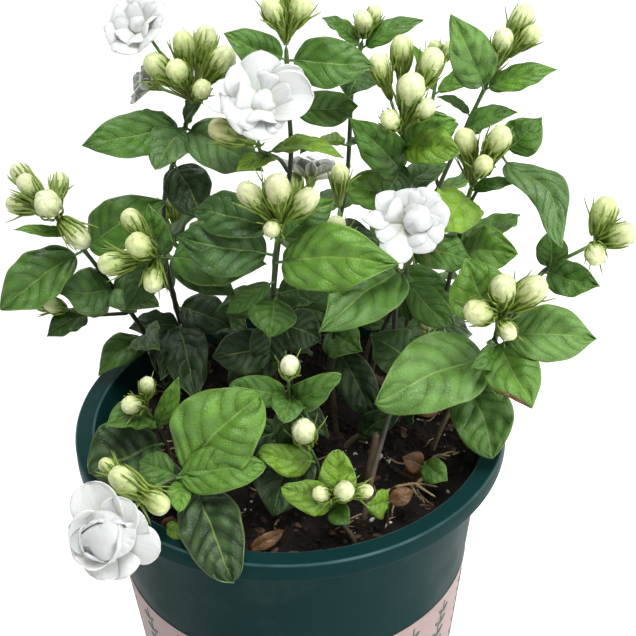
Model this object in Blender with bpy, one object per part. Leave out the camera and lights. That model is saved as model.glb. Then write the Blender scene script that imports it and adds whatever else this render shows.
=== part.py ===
"""Potted Arabian jasmine: a plastic pot, its soil, and the leafy stems, bud heads and double blooms.

Run with: blender --background --python part.py
Blender 4.5. The tables are in millimetres and the model is in metres, +Z up, standing on Z = 0.
The pot's axis is the Z axis, the front is -Y and the right is +X.
"""
import math
import random

import bmesh
import bpy
from mathutils import Matrix, Vector

MM = 0.001
GAP = 0.3
SEED = 17
FLAT_ANGLE = math.radians(0.2)

# Pot, in millimetres
POT_HEIGHT = 186.0
RIM_RADIUS = 105.0
RIM_INNER_RADIUS = 96.0
SKIRT_HEIGHT = 10.0
BODY_TOP_RADIUS = 94.4
BASE_RADIUS = 76.4
WALL = 2.0
FLOOR = 3.0
RIM_THICKNESS = 3.0
RIM_ROUND = 1.6
SKIRT_THICKNESS = 2.4
POT_SIDES = 40
DRAIN_HOLES = 6
DRAIN_RING_RADIUS = 52.0
DRAIN_RADIUS = 5.0

# Soil, in millimetres
SOIL_TOP = 174.0
SOIL_RELIEF = 1.6
ROOT_DEPTH = 162.0
SOIL_RINGS = (38.0, 72.0)

# Leaf: thickness and least half width in millimetres, rows as shares of the length, and its stalk,
# outline, arch, fold and wave as shares of its length or width
LEAF_THICKNESS = 0.7
LEAST_HALF = 0.9
SHORT_LEAF = 32.0
SHORT_ROWS = (0.0, 0.28, 0.68, 1.0)
LONG_ROWS = (0.0, 0.24, 0.50, 0.80, 1.0)
PETIOLE_SHARE = 0.10
BLADE_HALF = 0.53
BLADE_SKEW = 0.84
BLADE_FULLNESS = 0.62
LEAF_ARCH = (0.07, 0.14)
LEAF_FOLD = (0.10, 0.22)
LEAF_WAVE = (0.03, 0.07)
WAVES = 1.5

# Stems and buds, in millimetres: sides, the knot at a shoot's end, stalks, and the lobes of a large calyx
STEM_SIDES = 5
BUD_SIDES = 5
KNOT_RADIUS = 1.3
KNOT_LENGTH = 2.1
KNOT_HEART = 1.1
STALK_RADIUS = 0.8
CUP_LENGTH = 4.0
CUP_RADIUS = 1.9
LARGE_BUD = 5.3
LOBES = 2
LOBE_RADIUS = 0.8

# Petal: thickness in millimetres, rows as (share of the length, share of the width), cup and lap as slopes
PETAL_THICKNESS = 0.7
PETAL_ROWS = ((0.0, 0.0), (0.62, 1.0), (1.0, 0.62))
PETAL_CUP = 0.30
PETAL_LAP = 0.22

# Bloom: its tube's reach behind the centre, its heart, and the roots of its petals, as shares of its radius
TUBE_REACH = 0.62
HEART_REACH = 0.95
HEART_RADIUS = 0.34
PETAL_ROOT = 0.30
PETAL_ROOT_STEP = 0.07
PETAL_STAGGER = 0.1

COLOURS = {
    "pot": (0.030, 0.095, 0.082, 1.0),
    "soil": (0.030, 0.020, 0.015, 1.0),
    "stem": (0.085, 0.240, 0.035, 1.0),
    "buds": (0.620, 0.700, 0.330, 1.0),
    "bloom": (0.880, 0.890, 0.880, 1.0),
    "dead": (0.260, 0.120, 0.045, 1.0),
}


def leaf(at, tip, width, lean):
    """A leaf: place along its shoot's points, tip, width, and degrees its face leans to the front."""
    return {"at": at, "tip": tip, "width": width, "lean": lean}


def shoot(points, thick, thin, leaves, head=None):
    """A shoot through the points, tapering from one radius to the other, with leaves and a head."""
    return {"points": points, "radii": (thick, thin), "leaves": leaves, "head": head}


STEMS = {
    "stem_left_outer": (
        shoot([(-60, 44, 162), (-60, 44, 178), (-72, 46, 203), (-85, 38, 238), (-96, 30, 266),
               (-106, 23, 290)], 1.5, 0.9, [
                  leaf(4.0, (-135, 10, 246), 25, 35),
                  leaf(4.0, (-54, 26, 294), 23, 50),
                  leaf(3.0, (-108, 18, 250), 23, 50),
                  leaf(3.0, (-58, 18, 253), 23, 50),
                  leaf(4.4, (-124, 16, 287), 6, 30),
                  leaf(2.0, (-96, 26, 196), 16, 30),
              ], "buds_left_outer"),
        shoot([(-79, 42, 221), (-97, 31, 228), (-107, 27, 234)], 1.0, 0.8, [
            leaf(1.0, (-117, 18, 225), 13, 30),
        ], "buds_left_low"),
    ),
    "stem_tall_left": (
        shoot([(-52, 56, 162), (-52, 56, 180), (-58, 60, 212), (-61, 58, 248), (-57, 50, 286),
               (-47, 40, 316), (-39, 30, 342)], 1.5, 0.9, [
                   leaf(5.4, (-89, 20, 327), 23, 50),
                   leaf(5.4, (-8, 5, 320), 23, 50),
                   leaf(5.3, (-77, 48, 323), 11, 0),
                   leaf(4.6, (-37, 16, 289), 21, 60),
                   leaf(4.6, (-76, 66, 300), 20, -20),
                   leaf(3.0, (-28, 78, 262), 22, -30),
                   leaf(2.2, (-84, 82, 226), 20, -20),
                   leaf(2.0, (-30, 50, 206), 22, 30),
                   leaf(1.6, (-63, 22, 190), 26, 60),
               ], "buds_tall_left"),
        shoot([(-61, 58, 248), (-57, 34, 262), (-55, 14, 270), (-58, 2, 278)], 1.0, 0.8, [
            leaf(2.2, (-61, 12, 300), 15, 85),
            leaf(2.0, (-8, -9, 280), 21, 45),
            leaf(1.4, (-24, 6, 254), 17, 50),
            leaf(1.2, (-76, 8, 246), 16, 40),
        ], "buds_left_inner"),
    ),
    "stem_centre_tall": (
        shoot([(-8, 34, 162), (-8, 34, 180), (-8, 34, 220), (-4, 30, 262), (4, 20, 315),
               (4, 18, 350), (4, 18, 374)], 1.6, 0.9, [
                  leaf(5.7, (-22, 13, 382), 15, 60),
                  leaf(5.7, (41, 8, 368), 21, 55),
                  leaf(4.8, (35, 24, 341), 16, 50),
                  leaf(4.8, (-22, 40, 340), 16, 20),
                  leaf(4.3, (14, 6, 331), 6, 40),
                  leaf(3.2, (-36, 44, 282), 20, -20),
                  leaf(3.2, (5, 66, 268), 20, -20),
                  leaf(1.8, (-26, 10, 202), 22, 60),
                  leaf(1.7, (10, 48, 192), 20, 20),
              ], "buds_centre_top"),
        shoot([(3, 21, 310), (-1, 12, 322), (-8, 2, 331), (-9, -2, 336)], 1.0, 0.8, [
            leaf(1.8, (27, -12, 336), 11, 10),
        ], "buds_centre_bloom"),
    ),
    "stem_centre": (
        shoot([(4, 2, 162), (4, 2, 178), (0, 0, 210), (-6, -2, 244), (-4, -14, 284),
               (-1, -21, 306)], 1.4, 0.9, [
            leaf(4.2, (-47, -12, 297), 25, 50),
            leaf(4.0, (49, -43, 300), 28, 52),
            leaf(4.6, (23, -10, 313), 15, 60),
            leaf(3.4, (-8, -24, 250), 21, 80),
            leaf(3.0, (16, -4, 234), 19, 60),
            leaf(2.6, (-36, -2, 224), 20, 55),
            leaf(2.4, (-16, 22, 216), 18, 10),
        ], "buds_centre"),
    ),
    "stem_right_inner": (
        shoot([(34, -62, 162), (34, -62, 178), (41, -48, 202), (52, -26, 224), (65, -10, 241)], 1.5, 0.9, [
            leaf(3.4, (39, -22, 248), 21, 55),
        ], "bud_right_inner"),
    ),
    "stem_right_bloom": (
        shoot([(38, 18, 162), (38, 18, 180), (44, 10, 224), (54, -8, 266), (54, -15, 288), (55, -19, 300)],
              1.4, 0.9, [
                  leaf(3.5, (15, -55, 274), 26, 50),
                  leaf(3.2, (77, -18, 249), 15, 70),
                  leaf(4.2, (84, -18, 284), 17, 40),
              ], "buds_right_bloom"),
    ),
    "stem_back_centre": (
        shoot([(22, 4, 162), (22, 4, 178), (20, 14, 210), (22, 36, 250), (30, 48, 290),
               (33, 45, 339), (38, 45, 364)], 1.5, 0.9, [
                  leaf(5.8, (20, 48, 373), 10, 20),
                  leaf(5.8, (65, 42, 373), 11, 30),
                  leaf(5.4, (31, 28, 344), 18, 60),
                  leaf(4.4, (8, 60, 300), 18, -10),
                  leaf(4.4, (54, 62, 300), 18, -10),
                  leaf(3.6, (34, 80, 262), 22, -30),
                  leaf(2.3, (34, -2, 226), 20, 60),
              ], "buds_back_centre"),
        shoot([(20, 14, 210), (24, 8, 245), (25, 5, 275)], 0.9, 0.7, [], "buds_back_inner"),
    ),
    "stem_right_tall": (
        shoot([(52, 28, 162), (52, 28, 180), (53, 34, 240), (54, 30, 289), (55, 22, 314), (54, 17, 330)],
              1.5, 0.9, [
                  leaf(3.7, (31, 6, 344), 18, 60),
                  leaf(4.2, (77, 8, 341), 20, 50),
                  leaf(4.0, (46, 8, 304), 16, 80),
                  leaf(3.0, (26, 15, 306), 18, 50),
                  leaf(3.2, (76, 34, 306), 15, 20),
                  leaf(2.3, (46, 68, 262), 22, -30),
                  leaf(1.9, (80, 26, 222), 22, 40),
                  leaf(1.6, (33, 50, 209), 20, 20),
              ], "buds_right_tall"),
    ),
    "stem_far_right": (
        shoot([(58, 46, 162), (58, 46, 180), (63, 50, 235), (69, 50, 268), (85, 50, 312), (97, 50, 342)],
              1.5, 0.9, [
                  leaf(4.75, (77, 40, 376), 20, 60),
                  leaf(4.75, (125, 40, 349), 12, 40),
                  leaf(4.0, (108, 38, 329), 13, 30),
                  leaf(4.3, (74, 64, 326), 7, 0),
                  leaf(3.0, (104, 68, 284), 20, -20),
                  leaf(2.4, (72, 86, 262), 22, -30),
                  leaf(1.5, (94, 56, 192), 22, 20),
              ], "buds_far_right"),
        shoot([(74, 50, 282), (71, 64, 312), (75, 72, 337)], 0.9, 0.7, [
            leaf(1.5, (62, 73, 348), 7, 30),
            leaf(1.5, (93, 68, 336), 9, 30),
        ], "buds_far_right_small"),
    ),
    "stem_right_upper": (
        shoot([(66, 16, 162), (66, 16, 180), (74, 18, 230), (79, 12, 268), (83, 9, 296), (85, 7, 308)],
              1.4, 0.9, [
                  leaf(4.5, (69, -16, 299), 22, 50),
                  leaf(4.8, (103, 0, 314), 7, 30),
                  leaf(3.1, (104, -8, 296), 24, 50),
                  leaf(3.0, (112, 34, 276), 20, -10),
              ], "buds_right_upper"),
        shoot([(83, 9, 294), (93, 11, 314), (100, 6, 327)], 0.9, 0.7, [
            leaf(1.9, (113, 1, 344), 17, 60),
            leaf(1.7, (119, -28, 298), 21, 60),
        ]),
    ),
    "stem_right_outer": (
        shoot([(70, -14, 162), (70, -14, 178), (84, -2, 203), (102, 8, 229), (118, 5, 261), (140, -1, 281)],
              1.4, 0.9, [
                  leaf(4.2, (122, 9, 283), 14, 70),
                  leaf(4.1, (142, -16, 268), 16, 50),
                  leaf(3.0, (128, 34, 238), 20, -20),
                  leaf(3.2, (84, 34, 246), 19, -10),
              ], "buds_right_outer"),
    ),
    "stem_right_low": (
        shoot([(28, -12, 162), (28, -12, 178), (53, -14, 196), (74, -18, 210), (93, -23, 229),
               (94, -30, 250), (94, -37, 267)], 1.4, 0.9, [
                   leaf(5.2, (138, -38, 255), 24, 45),
                   leaf(5.0, (107, -62, 236), 23, 50),
                   leaf(4.4, (40, -58, 238), 33, 45),
                   leaf(3.5, (93, -50, 198), 27, 60),
                   leaf(4.8, (82, -52, 251), 12, 65),
                   leaf(5.7, (80, -25, 290), 26, 75),
               ], "buds_right_low"),
    ),
    "stem_front_left": (
        shoot([(-36, -56, 162), (-36, -56, 178), (-42, -66, 200), (-49, -72, 210),
               (-62, -85, 213)], 1.3, 0.9, [
            leaf(3.0, (-12, -62, 246), 31, 50),
            leaf(3.1, (-10, -80, 221), 20, 45),
            leaf(3.0, (-67, -60, 209), 14, 40),
            leaf(2.8, (-48, -88, 203), 9, 50),
            leaf(2.0, (-25, -110, 182), 24, 60),
        ], "buds_front_left"),
    ),
    "stem_left_small": (
        shoot([(-58, -20, 162), (-58, -20, 178), (-62, -25, 200), (-66, -30, 216)], 1.3, 0.8, [
            leaf(2.2, (-83, -46, 218), 17, 20),
            leaf(2.0, (-50, -25, 230), 9, 60),
            leaf(1.5, (-93, -45, 191), 29, 35),
        ], "buds_left_small"),
    ),
    "stem_front_mid": (
        shoot([(2, -32, 162), (2, -32, 178), (1, -42, 215), (1, -55, 249)], 1.2, 0.8, [
            leaf(2.5, (22, -67, 259), 17, 50),
            leaf(2.6, (-25, -54, 246), 15, 45),
            leaf(2.6, (-1, -72, 240), 17, 60),
            leaf(1.8, (-8, -74, 187), 21, 60),
        ], "bud_front_mid"),
    ),
    "stem_front_small": (
        shoot([(12, -54, 162), (12, -54, 178), (13, -57, 200), (9, -61, 217)], 1.0, 0.7, [
            leaf(2.3, (-12, -69, 220), 15, 50),
        ], "bud_front_small"),
    ),
    "stem_front": (
        shoot([(28, -80, 162), (28, -80, 177), (19, -78, 192), (20, -80, 202)], 1.6, 1.0, [
            leaf(2.4, (-3, -86, 214), 15, 50),
            leaf(2.1, (22, -68, 220), 18, 60),
            leaf(2.4, (26, -90, 196), 10, 50),
        ], "buds_front"),
    ),
    "stem_rear_left": (
        shoot([(-36, 64, 162), (-36, 64, 180), (-46, 82, 208), (-58, 96, 230)], 1.4, 0.9, [
            leaf(2.7, (-94, 104, 234), 24, -40),
            leaf(2.6, (-34, 128, 224), 24, -50),
            leaf(2.0, (-84, 104, 204), 22, -40),
            leaf(1.4, (-22, 56, 200), 20, 20),
            leaf(2.0, (-26, 112, 206), 22, -40),
        ], "buds_rear_left"),
    ),
    "stem_rear_mid": (
        shoot([(0, 70, 162), (0, 70, 180), (4, 86, 212), (6, 102, 238)], 1.4, 0.9, [
            leaf(2.7, (-30, 118, 242), 23, -40),
            leaf(2.6, (42, 126, 234), 24, -50),
            leaf(2.0, (22, 122, 204), 22, -50),
            leaf(2.2, (-22, 100, 236), 18, -30),
            leaf(1.5, (26, 60, 202), 20, 20),
            leaf(1.4, (-18, 92, 200), 18, 0),
        ], "buds_rear_mid"),
    ),
    "stem_rear_right": (
        shoot([(40, 62, 162), (40, 62, 180), (54, 78, 206), (70, 90, 228)], 1.4, 0.9, [
            leaf(2.7, (104, 86, 234), 23, -30),
            leaf(2.6, (66, 128, 222), 24, -50),
            leaf(2.0, (92, 98, 200), 21, -30),
            leaf(1.8, (30, 104, 208), 20, -40),
            leaf(1.4, (72, 62, 198), 20, 20),
        ], "buds_rear_right"),
    ),
    "seedling_front": (
        shoot([(44, -66, 162), (44, -66, 178), (44, -65, 186)], 0.9, 0.7, [
            leaf(2.0, (34, -74, 192), 13, 60),
            leaf(1.9, (56, -62, 190), 8, 40),
        ]),
    ),
    "seedling_right": (
        shoot([(62, -44, 162), (62, -44, 178), (62, -43, 190)], 0.9, 0.7, [
            leaf(2.0, (72, -56, 190), 12, 60),
            leaf(1.8, (52, -46, 196), 10, 50),
        ]),
    ),
}

# A head: its buds as (x, y, z, radius), and the blooms it carries
HEADS = {
    "buds_left_outer": {
        "buds": ((-107, 14, 301, 6.2), (-117, 25, 305, 4.6), (-122, 36, 305, 4.4), (-124, 28, 293, 4.4),
                 (-104, 34, 301, 4.0), (-95, 14, 283, 5.2)),
        "blooms": (),
    },
    "buds_left_low": {"buds": ((-113, 22, 240, 3.6), (-119, 28, 236, 3.2)), "blooms": ()},
    "buds_tall_left": {
        "buds": ((-53, 24, 363, 5.2), (-43, 12, 366, 4.8), (-41, 30, 370, 5.0), (-33, 12, 357, 4.2),
                 (-24, 24, 365, 5.4), (-32, 40, 368, 5.0)),
        "blooms": ("bloom_top_left", "bloom_left_hidden"),
    },
    "buds_left_inner": {
        "buds": ((-78, -5, 280, 5.2), (-64, -11, 293, 5.6), (-68, 4, 297, 4.6), (-59, -13, 275, 4.6)),
        "blooms": (),
    },
    "buds_centre_top": {
        "buds": ((-1, 12, 393, 4.6), (11, 14, 393, 4.8), (5, 24, 395, 4.4)),
        "blooms": (),
    },
    "buds_centre_bloom": {"buds": ((-24, -6, 346, 5.2),), "blooms": ("bloom_centre",)},
    "buds_centre": {
        "buds": ((-13, -26, 326, 5.0), (-1, -29, 330, 5.6), (11, -26, 322, 5.0), (-4, -34, 313, 3.6)),
        "blooms": (),
    },
    "bud_right_inner": {"buds": ((65, -12, 249, 4.0),), "blooms": ()},
    "buds_right_bloom": {"buds": ((50, -28, 296, 4.4),), "blooms": ("bloom_right",)},
    "buds_back_centre": {"buds": ((38, 41, 374, 4.2), (43, 46, 375, 3.4)), "blooms": ()},
    "buds_back_inner": {"buds": ((24, 0, 293, 4.6), (29, -3, 289, 3.0), (26, 5, 317, 4.2)), "blooms": ()},
    "buds_right_tall": {
        "buds": ((44, 14, 365, 4.6), (54, 20, 370, 4.8), (66, 10, 368, 5.2),
                 (57, 3, 359, 6.2), (63, 0, 351, 4.2),
                 (48, 2, 345, 4.4)),
        "blooms": (),
    },
    "buds_far_right": {"buds": ((101, 44, 362, 4.6), (110, 50, 370, 5.2),
                                (113, 42, 365, 4.2)), "blooms": ()},
    "buds_far_right_small": {"buds": ((73, 73, 346, 3.2), (79, 71, 346, 3.2)), "blooms": ()},
    "buds_right_upper": {
        "buds": ((81, 3, 333, 5.0), (95, -3, 337, 5.2), (88, -8, 327, 4.2)),
        "blooms": (),
    },
    "buds_right_outer": {
        "buds": ((145, 3, 296, 5.6), (152, -8, 290, 5.2), (139, -15, 284, 4.6)),
        "blooms": (),
    },
    "buds_right_low": {
        "buds": ((83, -49, 278, 5.6), (94, -46, 288, 5.6), (107, -42, 284, 6.0), (96, -54, 271, 3.8)),
        "blooms": (),
    },
    "buds_front_left": {
        "buds": ((-71, -85, 220, 5.6), (-57, -90, 211, 5.0), (-78, -79, 223, 3.4)),
        "blooms": ("bloom_front_left",),
    },
    "buds_left_small": {"buds": ((-71, -40, 226, 4.8), (-64, -32, 231, 4.0)), "blooms": ()},
    "bud_front_mid": {"buds": ((2, -62, 262, 4.8),), "blooms": ()},
    "bud_front_small": {"buds": ((7, -67, 230, 5.4),), "blooms": ()},
    "buds_front": {"buds": ((14, -87, 211, 4.0), (24, -88, 213, 5.0), (33, -85, 210, 3.8)), "blooms": ()},
    "buds_rear_left": {"buds": ((-60, 108, 248, 4.6), (-70, 102, 246, 4.4),
                                (-54, 100, 252, 5.0)), "blooms": ()},
    "buds_rear_mid": {"buds": ((4, 116, 252, 4.6),), "blooms": ("bloom_rear",)},
    "buds_rear_right": {"buds": ((74, 100, 246, 4.8), (84, 92, 246, 4.6),
                                 (72, 88, 250, 5.0)), "blooms": ()},
}

# A bloom: centre, way it faces, radius, and its layers as (petals, share of radius, opening, share of width)
BLOOMS = {
    "bloom_centre": {"centre": (-6, -10, 363), "face": (0.10, -0.72, 0.68), "radius": 25.0,
                     "layers": ((5, 1.0, 76, 0.95), (3, 0.72, 44, 0.95))},
    "bloom_right": {"centre": (55, -27, 312), "face": (0.05, -0.80, 0.60), "radius": 16.0,
                    "layers": ((5, 1.0, 80, 0.95), (3, 0.68, 40, 0.95))},
    "bloom_front_left": {"centre": (-77, -107, 207), "face": (-0.20, -0.80, 0.55), "radius": 22.0,
                         "layers": ((5, 1.0, 86, 0.98), (3, 0.68, 34, 1.05))},
    "bloom_top_left": {"centre": (-62, 38, 377), "face": (-0.40, -0.45, 0.80), "radius": 17.0,
                       "layers": ((5, 1.0, 62, 0.95),)},
    "bloom_left_hidden": {"centre": (-63, 46, 346), "face": (-0.90, 0.10, 0.40), "radius": 12.0,
                          "layers": ((5, 1.0, 60, 0.95),)},
    "bloom_rear": {"centre": (14, 116, 262), "face": (0.15, 0.60, 0.78), "radius": 17.0,
                   "layers": ((5, 1.0, 70, 0.95),)},
}


def material(name, colour, roughness, metallic=0.0):
    """A Principled material of one colour."""
    made = bpy.data.materials.new(name)
    made.use_nodes = True
    shader = made.node_tree.nodes["Principled BSDF"]
    shader.inputs["Base Color"].default_value = colour
    shader.inputs["Roughness"].default_value = roughness
    shader.inputs["Metallic"].default_value = metallic
    return made


def object_from(bm, name, smooth=False):
    """Turn a bmesh in metres into an object in the scene."""
    bmesh.ops.triangulate(bm, faces=bm.faces)
    bmesh.ops.recalc_face_normals(bm, faces=bm.faces)
    mesh = bpy.data.meshes.new(name)
    bm.to_mesh(mesh)
    bm.free()
    for polygon in mesh.polygons:
        polygon.use_smooth = smooth
    made = bpy.data.objects.new(name, mesh)
    bpy.context.scene.collection.objects.link(made)
    return made


def boolean(target, parts, operation):
    """Join the parts to the target, or cut them from it, with one applied Boolean, and remove them."""
    group = bpy.data.collections.new("operands")
    bpy.context.scene.collection.children.link(group)
    for part in parts:
        bpy.context.scene.collection.objects.unlink(part)
        group.objects.link(part)
    modifier = target.modifiers.new("join", "BOOLEAN")
    modifier.operation = operation
    modifier.solver = "EXACT"
    modifier.operand_type = "COLLECTION"
    modifier.collection = group
    scene_state = bpy.context.evaluated_depsgraph_get()
    joined = bpy.data.meshes.new_from_object(target.evaluated_get(scene_state))
    target.modifiers.clear()
    target.data = joined
    for part in parts:
        bpy.data.objects.remove(part)
    bpy.data.collections.remove(group)
    bm = bmesh.new()
    bm.from_mesh(joined)
    bmesh.ops.dissolve_limit(bm, angle_limit=FLAT_ANGLE, verts=bm.verts, edges=bm.edges)
    bmesh.ops.triangulate(bm, faces=bm.faces)
    bm.to_mesh(joined)
    bm.free()


def on_path(points, at):
    """The point at a place along a row of points, and the direction there."""
    index = min(int(at), len(points) - 2)
    start = Vector(points[index])
    step = Vector(points[index + 1]) - start
    return start + step * (at - index), step.normalized()


def blade_share(s):
    """Half width of a blade as a share of its widest, s from 0 at the stem to 1 at the tip."""
    if s <= PETIOLE_SHARE:
        return 0.0
    along = (s - PETIOLE_SHARE) / (1.0 - PETIOLE_SHARE)
    return math.sin(math.pi * along ** BLADE_SKEW) ** BLADE_FULLNESS


def blade_frame(base, tip, lean):
    """Length, direction along the blade, its face normal and its side direction."""
    chord = Vector(tip) - base
    along = chord.normalized()
    angle = math.radians(lean)
    facing = Vector((0.0, -math.sin(angle), math.cos(angle)))
    normal = (facing - along * facing.dot(along)).normalized()
    return chord.length, along, normal, along.cross(normal)


def leaf_object(spec, points, radius, rng):
    """One leaf: a grid shaped to a waved ovate blade, given its thickness."""
    start, _ = on_path(points, spec["at"])
    length, along, normal, side = blade_frame(start, spec["tip"], spec["lean"])
    arch = rng.uniform(*LEAF_ARCH)
    fold = rng.uniform(*LEAF_FOLD)
    wave = rng.uniform(*LEAF_WAVE)
    phase = rng.uniform(0.0, 1.0)
    rows = SHORT_ROWS if length < SHORT_LEAF else LONG_ROWS
    bm = bmesh.new()
    bmesh.ops.create_grid(bm, x_segments=2, y_segments=len(rows) - 1, size=1.0)
    for vertex in bm.verts:
        across = round(vertex.co.x)
        row = round((vertex.co.y + 1.0) * 0.5 * (len(rows) - 1))
        s = rows[row]
        half = max(LEAST_HALF, BLADE_HALF * spec["width"] * blade_share(s))
        if row in (0, len(rows) - 1):
            half = 0.0
        lift = arch * length * 4.0 * s * (1.0 - s) + fold * half * abs(across)
        ripple = math.sin(math.tau * (WAVES * s + phase)) * min(1.0, 0.25 * half)
        lift += wave * spec["width"] * across * ripple
        reach = length * s - 0.1 * radius * (1.0 - s)
        vertex.co = (start + along * reach + side * half * across + normal * lift) * MM
    bmesh.ops.remove_doubles(bm, verts=bm.verts, dist=0.00001)
    bmesh.ops.triangulate(bm, faces=bm.faces)
    bmesh.ops.solidify(bm, geom=bm.faces, thickness=LEAF_THICKNESS * MM)
    bmesh.ops.translate(bm, vec=normal * 0.5 * LEAF_THICKNESS * MM, verts=bm.verts)
    return object_from(bm, "leaf")


def tube_object(points, radii, name):
    """A round shoot: a small circle extruded from point to point, turned and narrowed on the way."""
    places = [Vector(point) * MM for point in points]
    steps = [(after - before).normalized() for before, after in zip(places, places[1:])]
    headings = [steps[0]]
    headings += [(before + after).normalized() for before, after in zip(steps, steps[1:])]
    headings.append(steps[-1])
    last = len(places) - 1
    sizes = [radii[0] + (radii[1] - radii[0]) * index / last for index in range(last + 1)]
    bm = bmesh.new()
    facing = headings[0].to_track_quat("Z", "Y").to_matrix().to_4x4()
    bmesh.ops.create_circle(bm, cap_ends=True, segments=STEM_SIDES, radius=sizes[0] * MM,
                            matrix=Matrix.Translation(places[0]) @ facing)
    end = bm.faces[:] + bm.edges[:] + bm.verts[:]
    for index in range(1, last + 1):
        moved = bmesh.ops.extrude_face_region(bm, geom=end)["geom"]
        face = next(item for item in moved if isinstance(item, bmesh.types.BMFace))
        ring = face.verts[:]
        end = [face] + face.edges[:] + ring
        bmesh.ops.translate(bm, vec=places[index] - places[index - 1], verts=ring)
        turn = headings[index - 1].rotation_difference(headings[index]).to_matrix()
        bmesh.ops.rotate(bm, cent=places[index], matrix=turn, verts=ring)
        narrower = sizes[index] / sizes[index - 1]
        bmesh.ops.scale(bm, vec=(narrower, narrower, narrower), space=Matrix.Translation(-places[index]),
                        verts=ring)
    return object_from(bm, name)


def lathe_object(base, tip, outline, name, sides=6):
    """A round body along the line from base to tip, its outline as (share of the length, radius)."""
    base = Vector(base)
    axis = Vector(tip) - base
    turn = axis.to_track_quat("Z", "Y").to_matrix().to_4x4()
    bm = bmesh.new()
    last = None
    for share, radius in outline:
        vertex = bm.verts.new((radius * MM, 0.0, share * axis.length * MM))
        if last is not None:
            bm.edges.new((last, vertex))
        last = vertex
    bmesh.ops.spin(bm, geom=bm.verts[:] + bm.edges[:], cent=(0, 0, 0), axis=(0, 0, 1), dvec=(0, 0, 0),
                   angle=math.tau, steps=sides, use_merge=True)
    bmesh.ops.remove_doubles(bm, verts=bm.verts, dist=0.00001)
    bmesh.ops.transform(bm, matrix=turn, verts=bm.verts)
    bmesh.ops.translate(bm, vec=base * MM, verts=bm.verts)
    return object_from(bm, name)


def spike_object(base, tip, radius):
    """A slim pointed lobe of the calyx."""
    axis = tip - base
    bm = bmesh.new()
    bmesh.ops.create_cone(bm, cap_ends=True, segments=3, radius1=radius * MM, radius2=0.0,
                          depth=axis.length * MM)
    bmesh.ops.transform(bm, matrix=axis.to_track_quat("Z", "Y").to_matrix().to_4x4(), verts=bm.verts)
    bmesh.ops.translate(bm, vec=(base + tip) * 0.5 * MM, verts=bm.verts)
    return object_from(bm, "lobe")


def bud_objects(base, bud):
    """A bud on its stalk, with two narrow lobes of its calyx if it is a large one."""
    centre = Vector(bud[:3])
    radius = bud[3]
    direction = (centre - base).normalized()
    tip = centre + direction * radius * 1.3
    length = (tip - base).length
    neck = max(0.25, 1.0 - 2.45 * radius / length)
    outline = ((0.0, 0.0), (0.0, STALK_RADIUS), (neck, STALK_RADIUS + 0.1),
               (1.0 - 1.3 * radius / length, 1.08 * radius), (1.0 - 0.45 * radius / length, 0.76 * radius),
               (1.0, 0.0))
    made = [lathe_object(base, tip, outline, "bud", BUD_SIDES)]
    side = direction.orthogonal().normalized()
    other = direction.cross(side)
    root = tip - direction * min(2.3 * radius, 0.9 * length)
    lobes = LOBES if radius >= LARGE_BUD else 0
    for index in range(lobes):
        angle = math.tau * (index + 0.25) / lobes
        out = side * math.cos(angle) + other * math.sin(angle)
        made.append(spike_object(root, root + (out * 1.5 + direction * 1.4) * radius, LOBE_RADIUS))
    return made


def bloom_base(name):
    """Where a bloom's tube ends."""
    bloom = BLOOMS[name]
    return Vector(bloom["centre"]) - Vector(bloom["face"]).normalized() * bloom["radius"] * TUBE_REACH


def head_object(name, end, direction):
    """A head of buds with the stalks of its blooms, standing a small gap off the shoot's end."""
    seat = end + direction * GAP
    knot = seat + direction * KNOT_HEART
    outline = ((0.0, 0.0), (0.0, KNOT_RADIUS), (1.0, 0.75 * KNOT_RADIUS), (1.0, 0.0))
    body = lathe_object(seat, seat + direction * KNOT_LENGTH, outline, name, 4)
    parts = []
    for bud in HEADS[name]["buds"]:
        parts += bud_objects(knot, bud)
    for bloom in HEADS[name]["blooms"]:
        face = Vector(BLOOMS[bloom]["face"]).normalized()
        stop = bloom_base(bloom) - face * GAP
        elbow = stop - face * CUP_LENGTH
        stalk = ((0.0, 0.0), (0.0, STALK_RADIUS), (1.0, STALK_RADIUS), (1.0, 0.0))
        parts.append(lathe_object(knot, elbow, stalk, "stalk", BUD_SIDES))
        cup = ((0.0, 0.0), (0.0, STALK_RADIUS + 0.1), (1.0, CUP_RADIUS), (1.0, 0.0))
        parts.append(lathe_object(elbow - face, stop, cup, "cup", BUD_SIDES))
    boolean(body, parts, "UNION")
    return body


def petal_object(centre, face, turn, length, width, opening):
    """One petal: a broad cupped blade, one of its edges lying over the next petal's."""
    spin = face.orthogonal().normalized()
    other = face.cross(spin)
    out = spin * math.cos(turn) + other * math.sin(turn)
    side = face.cross(out)
    bm = bmesh.new()
    bmesh.ops.create_grid(bm, x_segments=2, y_segments=2, size=1.0)
    for vertex in bm.verts:
        across = round(vertex.co.x)
        s, wide = PETAL_ROWS[round(vertex.co.y + 1.0)]
        angle = math.radians(opening) * (0.25 + 0.75 * s)
        place = out * (0.4 + math.sin(angle) * length * s) + face * math.cos(angle) * length * s
        inward = face * math.sin(angle) - out * math.cos(angle)
        half = 0.5 * width * wide
        lift = inward * half * (PETAL_CUP * abs(across) + PETAL_LAP * across)
        vertex.co = (centre + place + side * half * across + lift) * MM
    bmesh.ops.remove_doubles(bm, verts=bm.verts, dist=0.00001)
    bmesh.ops.triangulate(bm, faces=bm.faces)
    bmesh.ops.solidify(bm, geom=bm.faces, thickness=PETAL_THICKNESS * MM)
    return object_from(bm, "petal")


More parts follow.
